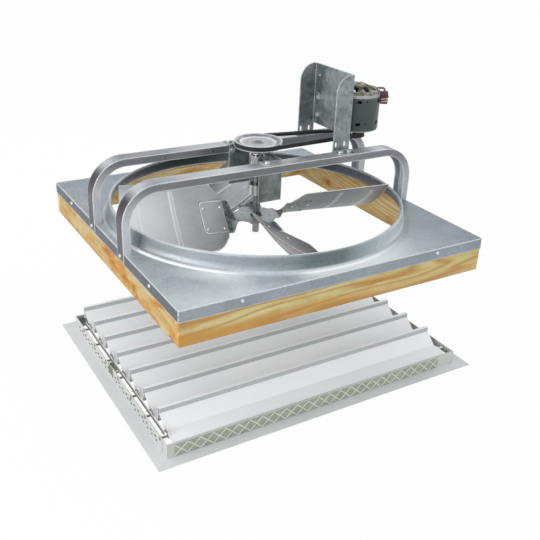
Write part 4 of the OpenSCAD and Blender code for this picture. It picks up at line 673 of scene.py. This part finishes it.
# The last colour is the painted shade on the bar's sides.
LINKAGE = link_enamel("linkage_enamel", (paint(196, 196, 188), paint(220, 219, 210)), paint(92, 92, 88))
BUSHING = moulded("bushing_plastic", paint(138, 138, 134), paint(172, 172, 168))
CLIP = galvanised("clip_steel", paint(104, 104, 102), paint(150, 150, 148), spangle=200, cloud=30)
SPRING = bright_zinc("spring_wire", paint(96, 96, 92), paint(160, 158, 150), rough=0.3, rim=0.0002)
STRIP = moulded("seal_strip_backing", paint(148, 151, 140), paint(170, 173, 160), rough=0.7)
STRAND = moulded("seal_strip_strand", paint(206, 206, 192), paint(226, 226, 212), rough=0.6)
CONNECTOR = moulded("connector_plastic", paint(58, 40, 40), paint(96, 66, 64), rough=0.35)
RED_WIRE = moulded("red_wire", paint(112, 30, 26), paint(150, 48, 40), rough=0.4)
WHITE_WIRE = moulded("white_wire", paint(206, 202, 198), paint(232, 229, 226), rough=0.4)
PURPLE_WIRE = moulded("purple_wire", paint(92, 84, 96), paint(128, 118, 130), rough=0.4)
# Dark grey for discs and strips of painted shade in slots and gaps.
PAINTED_SLOT_SHADE = moulded("lance_shadow", paint(70, 70, 66), paint(104, 104, 98), rough=0.8)

BOARDS = {
    "board_front": dict(
        along="X", pale=paint(214, 204, 150), straw=paint(206, 184, 122), patch=0.25, ring=0.7, low_band=0.8),
    "board_back": dict(
        along="X", pale=paint(234, 214, 160), straw=paint(224, 197, 128), patch=0.5, ring=0.3,
        knots=[((-0.20, 0.40, 0.385), 0.009)]),
    # The left board: its own tone, set darker as painted shade on the left side.
    "board_left": dict(
        along="Y", pale=paint(194, 179, 134), straw=paint(186, 162, 104), patch=1.0, ring=0.45),
    "board_right": dict(
        along="Y", pale=paint(224, 204, 154), straw=paint(218, 190, 128), patch=0.35, ring=0.6,
        knots=[((0.389, 0.24, 0.385), 0.010), ((0.389, 0.17, 0.375), 0.007)])}

FINISH_OF = {
    PANEL: ["venturi_panel"],
    RAIL: ["rail_front", "rail_back"],
    BRACKET: ["bearing_bracket", "motor_bracket"],
    CRADLE: ["motor_cradle"],
    BLADE: ["blade_left", "blade_right", "blade_front", "blade_back"],
    SPIDER: ["blade_spider"],
    FASTENER: ["skirt_screws", "bracket_bolts", "hex_nuts", "bearing_bolts", "blade_rivets",
               "motor_mount_bolts", "motor_through_bolts", "corner_nails"],
    BEARING: ["bearing_housings", "motor_bearings"],
    RACE: ["bearing_races", "bearing_balls", "bearing_inner_rings"],
    SHAFT: ["fan_shaft", "motor_shaft"],
    HUB: ["fan_hub"],
    PULLEY: ["fan_pulley"],
    BLACK_STEEL: ["set_screws"],
    BELT: ["drive_belt"],
    MOTOR: ["motor_shell"],
    BELL: ["motor_top_bell"],
    LOW_BELL: ["motor_bottom_bell"],
    STACK: ["motor_stator", "motor_rotor"],
    WINDING: ["stator_windings"],
    CAST_PULLEY: ["motor_pulley"],
    CONNECTOR: ["wire_connector", "lead_wires"],
    SHUTTER: ["frame_front", "frame_back", "frame_left", "frame_right"],
    LINKAGE: ["tie_bar", "spring_anchor"],
    BUSHING: ["pivot_bushings"],
    CLIP: ["corner_clips"],
    SPRING: ["return_spring"],
    STRIP: ["seal_strip"],
    LEAF: [f"louver_{k}" for k in range(1, 8)],
}


def dress(node, material):
    mesh = nodes[node].data
    mesh.materials.clear()
    mesh.materials.append(material)


FIRST_SEED = 1.3            # each board's grain is shifted by its seed

for finish, names in FINISH_OF.items():
    for name in names:
        dress(name, finish)
for k, (board, look) in enumerate(BOARDS.items()):
    dress(board, pine(f"pine_{board}", seed=k + FIRST_SEED, **look))


# Pieces made here


def show(name, mesh, body, stands_for=()):
    """A finished piece: on its body, in place of the solids that it stands for."""
    piece = bpy.data.objects.new(name, mesh)
    bpy.context.scene.collection.objects.link(piece)
    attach(piece, body)
    if stands_for:
        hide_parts(*stands_for)


WIRE_SIDES = 6


class Pattern:
    """A geometry node tree with named sizes; its result is kept as a plain mesh."""

    def __init__(self, name, **sizes):
        self.name = name
        self.sizes = sizes
        self.tree = bpy.data.node_groups.new(name + "_tree", "GeometryNodeTree")
        self.keys = {}
        for key, value in sizes.items():
            kind = "NodeSocketInt" if isinstance(value, int) else "NodeSocketFloat"
            self.keys[key] = self.tree.interface.new_socket(key, in_out="INPUT", socket_type=kind).identifier
        self.tree.interface.new_socket("Geometry", in_out="OUTPUT", socket_type="NodeSocketGeometry")
        self.given = self.tree.nodes.new("NodeGroupInput").outputs

    def add(self, kind, inputs=None, **settings):
        return add_node(self.tree, kind, inputs, **settings).outputs[0]

    def math(self, how, a, b=0.0):
        return self.add("ShaderNodeMath", {0: a, 1: b}, operation=how)

    def vector(self, x=0.0, y=0.0, z=0.0):
        return self.add("ShaderNodeCombineXYZ", {0: x, 1: y, 2: z})

    def join(self, *parts):
        node = self.tree.nodes.new("GeometryNodeJoinGeometry")
        for part in parts:
            self.tree.links.new(part, node.inputs[0])
        return node.outputs[0]

    def wire(self, curve, radius):
        section = self.add("GeometryNodeCurvePrimitiveCircle", {"Resolution": WIRE_SIDES, "Radius": radius})
        return self.add("GeometryNodeCurveToMesh", {
            "Curve": curve, "Profile Curve": section, "Fill Caps": True})

    def moved(self, shape, shift=(0, 0, 0), turn=(0, 0, 0), scale=(1, 1, 1)):
        return self.add("GeometryNodeTransform", {
            "Geometry": shape, "Translation": shift, "Rotation": turn, "Scale": scale})

    def row(self, count, start, step):
        """Points at equal steps."""
        return self.add("GeometryNodeMeshLine", {"Count": count, "Start Location": start, "Offset": step},
                        mode="OFFSET")

    def copies(self, points, shape, turn=(0, 0, 0)):
        return self.add("GeometryNodeInstanceOnPoints", {
            "Points": points, "Instance": shape, "Rotation": turn})

    def mesh(self, shape, material):
        plain = self.add("GeometryNodeRealizeInstances", {0: shape})
        finish = self.add("GeometryNodeSetMaterial", {"Geometry": plain, "Material": material})
        end = self.tree.nodes.new("NodeGroupOutput")
        self.tree.links.new(finish, end.inputs[0])
        maker = bpy.data.objects.new(self.name + "_maker", bpy.data.meshes.new(self.name + "_seed"))
        bpy.context.scene.collection.objects.link(maker)
        modifier = maker.modifiers.new("pattern", "NODES")
        modifier.node_group = self.tree
        for key, value in self.sizes.items():
            modifier[self.keys[key]] = value
        graph = bpy.context.evaluated_depsgraph_get()
        made = bpy.data.meshes.new_from_object(maker.evaluated_get(graph))
        made.name = self.name
        bpy.data.objects.remove(maker)
        return made


def tube(shape, points, radius, sides=10, material=0):
    """Round wire along points, its section carried without twist."""
    points = [Vector(p) for p in points]
    last = len(points) - 1
    rings = []
    side = None
    for i, point in enumerate(points):
        along = (points[min(i + 1, last)] - points[max(i - 1, 0)]).normalized()
        if side is None:
            side = along.orthogonal()
        side = (side - along * side.dot(along)).normalized()
        over = along.cross(side)
        rings.append([shape.verts.new(point + radius * (math.cos(t) * side + math.sin(t) * over))
                      for t in (math.tau * k / sides for k in range(sides))])
    for a, b in zip(rings, rings[1:]):
        for k in range(sides):
            face = shape.faces.new((a[k], a[(k + 1) % sides], b[(k + 1) % sides], b[k]))
            face.material_index = material
            face.smooth = True
    for ring in (rings[0][::-1], rings[-1]):
        shape.faces.new(ring).material_index = material


def block(shape, low, high, rounding, material=0, place=Matrix()):
    """Box with rounded edges between two corners, at a place."""
    low, high = Vector(low), Vector(high)
    middle = Matrix.Translation((low + high) / 2) @ Matrix.Diagonal((*(high - low), 1.0))
    made = bmesh.ops.create_cube(shape, size=1.0, matrix=middle)["verts"]
    edges = list({edge for vert in made for edge in vert.link_edges})
    rounded = bmesh.ops.bevel(shape, geom=edges, offset=rounding, segments=3, affect="EDGES", profile=0.5)
    verts = [vert for vert in {*made, *rounded["verts"]} if vert.is_valid]
    for face in {face for vert in verts for face in vert.link_faces}:
        face.material_index = material
    bmesh.ops.transform(shape, matrix=place, verts=verts)


def plain_mesh(name, shape, *materials):
    bmesh.ops.recalc_face_normals(shape, faces=shape.faces)
    mesh = bpy.data.meshes.new(name)
    shape.to_mesh(mesh)
    shape.free()
    for material in materials:
        mesh.materials.append(material)
    return mesh


# Seal strip: flat strands crossing in diamonds on the front of the collar

STRIP_LOW, STRIP_HIGH = box("seal_strip")
STRIP_EDGE = 0.003          # bare height of the strip that the strands leave
DIAMONDS = 24
STRAND_R = 0.0017
STRAND_FLAT = 0.3           # a strand's depth as a share of its width


def seal_strands():
    """Crossed strands, one pair to a diamond, pressed flat on the strip."""
    p = Pattern("seal_strands", Count=DIAMONDS, Pitch=(STRIP_HIGH.x - STRIP_LOW.x) / DIAMONDS,
                Height=STRIP_HIGH.z - STRIP_LOW.z - STRIP_EDGE, Strand=STRAND_R, Start=STRIP_LOW.x,
                Level=(STRIP_LOW.z + STRIP_HIGH.z) / 2, Front=STRIP_LOW.y)
    half, tall = p.math("MULTIPLY", p.given["Pitch"], 0.5), p.math("MULTIPLY", p.given["Height"], 0.5)
    back, low = p.math("MULTIPLY", half, -1.0), p.math("MULTIPLY", tall, -1.0)
    strands = []
    for a, b in ((low, tall), (tall, low)):
        strands.append(p.add("GeometryNodeCurvePrimitiveLine", {
            "Start": p.vector(back, 0.0, a), "End": p.vector(half, 0.0, b)}))
    cross = p.moved(p.wire(p.join(*strands), p.given["Strand"]), scale=(1.0, STRAND_FLAT, 1.0))
    start = p.vector(p.math("ADD", p.given["Start"], half), p.given["Front"], p.given["Level"])
    return p.mesh(p.copies(p.row(p.given["Count"], start, p.vector(p.given["Pitch"])), cross), STRAND)


show("seal_strands", seal_strands(), "housing")


# Collar's left side: two rows of pressed lances, each over a dark disc of painted shade in its slot

LANCES = 22
LANCE_PITCH = 0.0281
LANCE_START = -0.288
LANCE_LEAD = 0.0065                             # how much further forward the lower row starts
LANCE_ROWS = ((0.0228, 1.0), (0.0125, 0.55))    # each row's height, and its share of the full length
LANCE = dict(along=0.0066, tall=0.0018, proud=0.0016, lift=0.0044)
# Dark discs of painted shade in the slots under the lances.
SLOT_SHADE_DISC = dict(along=0.0066, tall=0.0034, proud=0.0012, lift=0.0)


def lance_rows(name, material, along, tall, proud, lift):
    p = Pattern(name, Count=LANCES, Pitch=LANCE_PITCH, Along=along, Tall=tall, Proud=proud, Lift=lift)
    round_mark = p.add("GeometryNodeMeshUVSphere", {"Segments": 12, "Rings": 6, "Radius": 1.0})
    rows = []
    for k, (level, share) in enumerate(LANCE_ROWS):
        length = p.math("MULTIPLY", p.given["Along"], share)
        mark = p.moved(round_mark, scale=p.vector(p.given["Proud"], length, p.given["Tall"]))
        start = p.vector(COLLAR_X, LANCE_START - LANCE_LEAD * k, p.math("ADD", level, p.given["Lift"]))
        rows.append(p.copies(p.row(p.given["Count"], start, p.vector(0.0, p.given["Pitch"])), mark))
    return p.mesh(p.join(*rows), material)


show("collar_lances", lance_rows("collar_lances", SHUTTER, **LANCE), "housing")
show("lance_slot_shade", lance_rows("lance_slot_shade", PAINTED_SLOT_SHADE, **SLOT_SHADE_DISC), "housing")


# Laps and seams in the sheet

SEAM_R = 0.0008
SEAM_AT = 0.9995            # a seam's place as a share of the skirt's corner
SEAM_LIFT = 0.0002          # its lower end, above the skirt's edge


def seams():
    shape = bmesh.new()
    low = PANEL_LOW.z + SEAM_LIFT
    for x in (PANEL_LOW.x, PANEL_HIGH.x):
        for y in (PANEL_LOW.y, PANEL_HIGH.y):
            points = [(x * SEAM_AT, y * SEAM_AT, z) for z in (low, (low + PANEL_Z) / 2, PANEL_Z - SHEET)]
            tube(shape, points, SEAM_R, 8)
    return plain_mesh("skirt_corner_seams", shape, FASTENER)


show("skirt_corner_seams", seams(), "housing")

LAP_LOW, LAP_HIGH = 0.003, 0.040
LAP_BITE = 0.0002           # how far the lap sinks into the collar
LAP = dict(near=-0.334, far=-0.329, proud=0.0012, rounding=0.0004, material=0)
# A dark strip of painted shade in the gap beside the lap.
LAP_GAP_SHADE = dict(near=-0.3285, far=-0.3275, proud=0.0006, rounding=0.0002, material=1)


def lap_strip(shape, near, far, proud, rounding, material):
    low, high = (COLLAR_X - proud, near, LAP_LOW), (COLLAR_X + LAP_BITE, far, LAP_HIGH)
    block(shape, low, high, rounding, material)


def collar_lap():
    """The collar's sheet lapped over itself, with a dark strip of painted shade in the gap beside the lap."""
    shape = bmesh.new()
    lap_strip(shape, **LAP)
    lap_strip(shape, **LAP_GAP_SHADE)
    return plain_mesh("collar_lap", shape, SHUTTER, PAINTED_SLOT_SHADE)


show("collar_lap", collar_lap(), "housing")


# Return spring

SPRING_LOW, SPRING_HIGH = box("return_spring")
SPRING_WIRE_R = 0.0007
CURLS = 14
CURL_STEPS = 20


def coil_spring():
    x, z = (SPRING_LOW.x + SPRING_HIGH.x) / 2, (SPRING_LOW.z + SPRING_HIGH.z) / 2
    curl = (SPRING_HIGH.x - SPRING_LOW.x) / 2 - SPRING_WIRE_R
    start, end = SPRING_LOW.y, SPRING_HIGH.y
    first, last = start + 2 * SPRING_WIRE_R, end - 2 * SPRING_WIRE_R
    steps = CURLS * CURL_STEPS
    route = [(x + curl, start, z)]
    for i in range(steps + 1):
        t = math.tau * i / CURL_STEPS
        route.append((x + curl * math.cos(t), first + (last - first) * i / steps, z + curl * math.sin(t)))
    route.append((x + curl, end, z))
    shape = bmesh.new()
    tube(shape, route, SPRING_WIRE_R)
    return plain_mesh("spring_coil", shape, SPRING)


show("spring_coil", coil_spring(), "housing", ["return_spring"])


# Motor leads and their connector, built on the X axis and turned round the motor

PLUG_LOW, PLUG_HIGH = (corner.z for corner in box("wire_connector"))
PLUG_IN, PLUG_OUT, PLUG_HALF = 0.0643, 0.0863, 0.008
PLUG_TURN = math.radians(-31)
AT_PLUG = Matrix.Translation((MOTOR_X, MOTOR_Y, 0)) @ Matrix.Rotation(PLUG_TURN, 4, "Z")
LEAD_R, LEAD_GAP = 0.0021, 0.0046
LEAD_IN, LEAD_BEND, LEAD_RISE = 0.054, 0.0106, 0.0035
LEAD_FOOT, LEAD_TOP, LEAD_END = PLUG_HIGH + 0.003, PLUG_HIGH + 0.0055, PLUG_HIGH - 0.0005
LEAD_STEPS, LEAD_SIDES = 24, 12


def motor_leads():
    """Three leads: each leaves the bell, makes a low bridge and enters the connector."""
    shape = bmesh.new()
    for k in (-1, 0, 1):
        route = [(LEAD_IN, k * LEAD_GAP, LEAD_FOOT)]
        for i in range(LEAD_STEPS + 1):
            t = math.pi * (1 - i / LEAD_STEPS)
            out = LEAD_IN + LEAD_BEND * (1 + math.cos(t))
            route.append((out, k * LEAD_GAP, LEAD_TOP + LEAD_RISE * math.sin(t)))
        route.append((LEAD_IN + 2 * LEAD_BEND, k * LEAD_GAP, LEAD_END))
        tube(shape, [AT_PLUG @ Vector(p) for p in route], LEAD_R, LEAD_SIDES, k + 1)
    return plain_mesh("motor_leads", shape, PURPLE_WIRE, CONNECTOR, PURPLE_WIRE)


show("motor_leads", motor_leads(), "housing", ["lead_wires"])

PLUG_RIM, PLUG_RIM_TALL, PLUG_RIM_PROUD = PLUG_LOW + 0.019, 0.004, 0.0016
RIB_PROUD, RIB_FOOT, RIB_TOP = 0.0006, 0.003, 0.002
RIB_IN, RIB_OUT = 0.004, 0.008
STRAP_R, STRAP_IN, STRAP_LENGTH = 0.0013, 0.0015, 0.018
STRAP_SINK, STRAP_BOW, STRAP_WAVE = 0.0004, 0.0011, 0.0007
STRAP_LOW, STRAP_PITCH, STRAP_CLIMB = 0.0018, 0.0036, 0.0042
STRAP_STEPS, STRAP_SIDES = 16, 10
BODY_END, RIM_END = PLUG_OUT - 0.001, PLUG_OUT + 0.0012
BODY_BEVEL, RIM_BEVEL, RIB_BEVEL = 0.0014, 0.0008, 0.0004


def connector():
    """Two-part connector: housing, rim, ribs, and short wires across its near face."""
    shape = bmesh.new()
    near, far = (PLUG_IN, -PLUG_HALF, PLUG_LOW), (BODY_END, PLUG_HALF, PLUG_HIGH)
    block(shape, near, far, BODY_BEVEL, 0, AT_PLUG)
    near = (PLUG_IN + PLUG_RIM_PROUD, -PLUG_HALF - PLUG_RIM_PROUD, PLUG_RIM)
    far = (RIM_END, PLUG_HALF + PLUG_RIM_PROUD, PLUG_RIM + PLUG_RIM_TALL)
    block(shape, near, far, RIM_BEVEL, 0, AT_PLUG)
    for k in (-1, 1):
        near = (PLUG_IN + RIB_IN, k * PLUG_HALF - RIB_PROUD, PLUG_LOW + RIB_FOOT)
        far = (PLUG_IN + RIB_OUT, k * PLUG_HALF + RIB_PROUD, PLUG_RIM - RIB_TOP)
        block(shape, near, far, RIB_BEVEL, 0, AT_PLUG)
    for k in range(4):
        route = []
        for i in range(STRAP_STEPS + 1):
            t = i / STRAP_STEPS
            proud = STRAP_SINK + STRAP_BOW * math.sin(math.pi * t)
            rise = STRAP_LOW + STRAP_PITCH * k + STRAP_CLIMB * t + STRAP_WAVE * math.sin(math.tau * t)
            place = (PLUG_IN + STRAP_IN + STRAP_LENGTH * t, -PLUG_HALF - proud, PLUG_LOW + rise)
            route.append(AT_PLUG @ Vector(place))
        tube(shape, route, STRAP_R, STRAP_SIDES, 1 if k % 2 else 2)
    return plain_mesh("connector_body", shape, CONNECTOR, WHITE_WIRE, RED_WIRE)


show("connector_body", connector(), "housing", ["wire_connector"])


# Stator's end turns: bundles of wire standing round each end

WINDING_LOW, WINDING_HIGH = box("stator_windings")
BUNDLES = dict(Bundles=28, Radius=0.0475, Wire=0.0012, Wide=0.0085, Tall=0.0042)
BUNDLE_SHARES = (1.0, 0.68, 0.36)
BUNDLE_HALF = 0.0055        # from a winding's end to its bundles' middle


def end_turns():
    p = Pattern("end_turns", **BUNDLES)
    loops = []
    for share in BUNDLE_SHARES:
        ring = p.add("GeometryNodeCurvePrimitiveCircle", {"Resolution": 20, "Radius": 1.0})
        wide, tall = (p.math("MULTIPLY", p.given[size], share) for size in ("Wide", "Tall"))
        loops.append(p.moved(ring, scale=p.vector(wide, tall, 1.0)))
    bundle = p.moved(p.wire(p.join(*loops), p.given["Wire"]), turn=(math.pi / 2, 0.0, math.pi / 2))
    points = p.add("GeometryNodeMeshCircle", {"Vertices": p.given["Bundles"], "Radius": p.given["Radius"]})
    way = p.add("FunctionNodeAlignRotationToVector", {"Vector": p.add("GeometryNodeInputPosition")}, axis="X")
    around = p.copies(points, bundle, way)
    levels = (WINDING_LOW.z + BUNDLE_HALF, WINDING_HIGH.z - BUNDLE_HALF)
    return p.mesh(p.join(*(p.moved(around, shift=(MOTOR_X, MOTOR_Y, level)) for level in levels)), WINDING)


show("end_turns", end_turns(), "housing", ["stator_windings"])


# Camera

CAMERA_PLACE = (-1.0157, -1.6902, 1.2201)
CAMERA_BACK = Vector((-0.4716, -0.7636, 0.4410)).normalized()
CAMERA_UP = Vector((0.1952, 0.3972, 0.8967))
CAMERA_SEES = math.radians(39.54)
SENSOR = 36


def place_camera():
    """Camera at the photograph's viewing angle."""
    data = bpy.data.cameras.new("camera")
    camera = bpy.data.objects.new("camera", data)
    bpy.context.scene.collection.objects.link(camera)
    right = CAMERA_UP.cross(CAMERA_BACK).normalized()
    axes = Matrix((right, CAMERA_BACK.cross(right), CAMERA_BACK)).transposed()
    camera.matrix_world = Matrix.Translation(CAMERA_PLACE) @ axes.to_4x4()
    data.sensor_width = SENSOR
    data.lens = SENSOR / 2 / math.tan(CAMERA_SEES / 2)
    data.clip_start = 0.05
    data.clip_end = 60
    bpy.context.scene.camera = camera


place_camera()


# Floor

FLOOR_HALF = 12
FLOOR_DROP = 0.0006         # under the flange, so the two don't share a plane
FLOOR_SHOWN = 0.95          # share of plain white that the camera sees
FLOOR_MIRRORED = 0.45       # share that reflections see of it


def floor_finish():
    """Pale floor: it shows almost white and keeps the object's shadow."""
    f = Finish("floor_white", roughness=0.9, specular=0.1)
    f.set(Base_Color=(0.82, 0.82, 0.82, 1))
    rays = f.add("ShaderNodeLightPath").outputs
    seen = f.math("MAXIMUM", rays["Is Camera Ray"], f.times(rays["Is Glossy Ray"], FLOOR_MIRRORED))
    glow = f.add("ShaderNodeEmission", {"Color": (1, 1, 1, 1), "Strength": 1.0})
    both = f.add("ShaderNodeMixShader", {
        0: f.times(seen, FLOOR_SHOWN), 1: f.face.outputs["BSDF"], 2: glow.outputs["Emission"]})
    f.join(both.outputs["Shader"], f.end.inputs["Surface"])
    return f.material


floor_mesh = bpy.data.meshes.new("floor")
corners = [(x * FLOOR_HALF, y * FLOOR_HALF, 0) for x, y in ((-1, -1), (1, -1), (1, 1), (-1, 1))]
floor_mesh.from_pydata(corners, [], [(0, 1, 2, 3)])
floor_mesh.materials.append(floor_finish())
floor = bpy.data.objects.new("floor", floor_mesh)
bpy.context.scene.collection.objects.link(floor)
floor.location.z = -FLOOR_DROP


# Light

SKY_TOWARD = Vector((-0.35, -0.5, 0.35)).normalized()
SKY_SPAN = (-0.9, 0.9)
SKY_GLOW = (0.3, 1.15)
SKY_COLOUR = (0.96, 0.98, 1.0, 1)


def studio_sky():
    """Soft light, strongest from the front left; the camera sees plain white."""
    world = bpy.data.worlds.new("studio")
    bpy.context.scene.world = world
    world.use_nodes = True
    sky = world.node_tree
    sky.nodes.clear()
    way = add_node(sky, "ShaderNodeTexCoord").outputs["Generated"]
    toward = add_node(sky, "ShaderNodeVectorMath", {0: way, 1: SKY_TOWARD}, operation="DOT_PRODUCT")
    glow = add_node(sky, "ShaderNodeMapRange", {
        "Value": toward.outputs["Value"], "From Min": SKY_SPAN[0], "From Max": SKY_SPAN[1],
        "To Min": SKY_GLOW[0], "To Max": SKY_GLOW[1]})
    soft = add_node(sky, "ShaderNodeBackground", {"Color": SKY_COLOUR, "Strength": glow.outputs["Result"]})
    white = add_node(sky, "ShaderNodeBackground", {"Color": (1, 1, 1, 1), "Strength": 1.0})
    seen = add_node(sky, "ShaderNodeMixShader", {
        0: add_node(sky, "ShaderNodeLightPath").outputs["Is Camera Ray"],
        1: soft.outputs["Background"], 2: white.outputs["Background"]})
    add_node(sky, "ShaderNodeOutputWorld", {"Surface": seen.outputs["Shader"]})


studio_sky()

FAN_MIDDLE, SHUTTER_MIDDLE = (0, 0, 0.4), (0, 0, 0.2)
LAMPS = {
    "key_lamp": dict(place=(1.6, -1.9, 2.6), target=FAN_MIDDLE, size=(1.8, 1.8), power=4),
    "left_lamp": dict(place=(-2.6, -0.4, 1.1), target=SHUTTER_MIDDLE, size=(1.2, 1.6), power=24),
    "back_lamp": dict(place=(-1.2, 2.6, 2.2), target=FAN_MIDDLE, size=(1.6, 1.6), power=16),
    "right_lamp": dict(place=(1.6, 2.2, 2.0), target=FAN_MIDDLE, size=(1.6, 1.6), power=9)}


def soft_box(name, place, target, size, power):
    """One large soft lamp at a place, aimed at a target."""
    lamp = bpy.data.lights.new(name, "AREA")
    lamp.shape = "RECTANGLE"
    lamp.size, lamp.size_y = size
    lamp.energy = power
    holder = bpy.data.objects.new(name, lamp)
    bpy.context.scene.collection.objects.link(holder)
    holder.location = place
    holder.rotation_mode = "QUATERNION"
    holder.rotation_quaternion = (Vector(target) - Vector(place)).to_track_quat("-Z", "Y")


for name, lamp in LAMPS.items():
    soft_box(name, **lamp)

bpy.context.scene.view_settings.view_transform = "Standard"
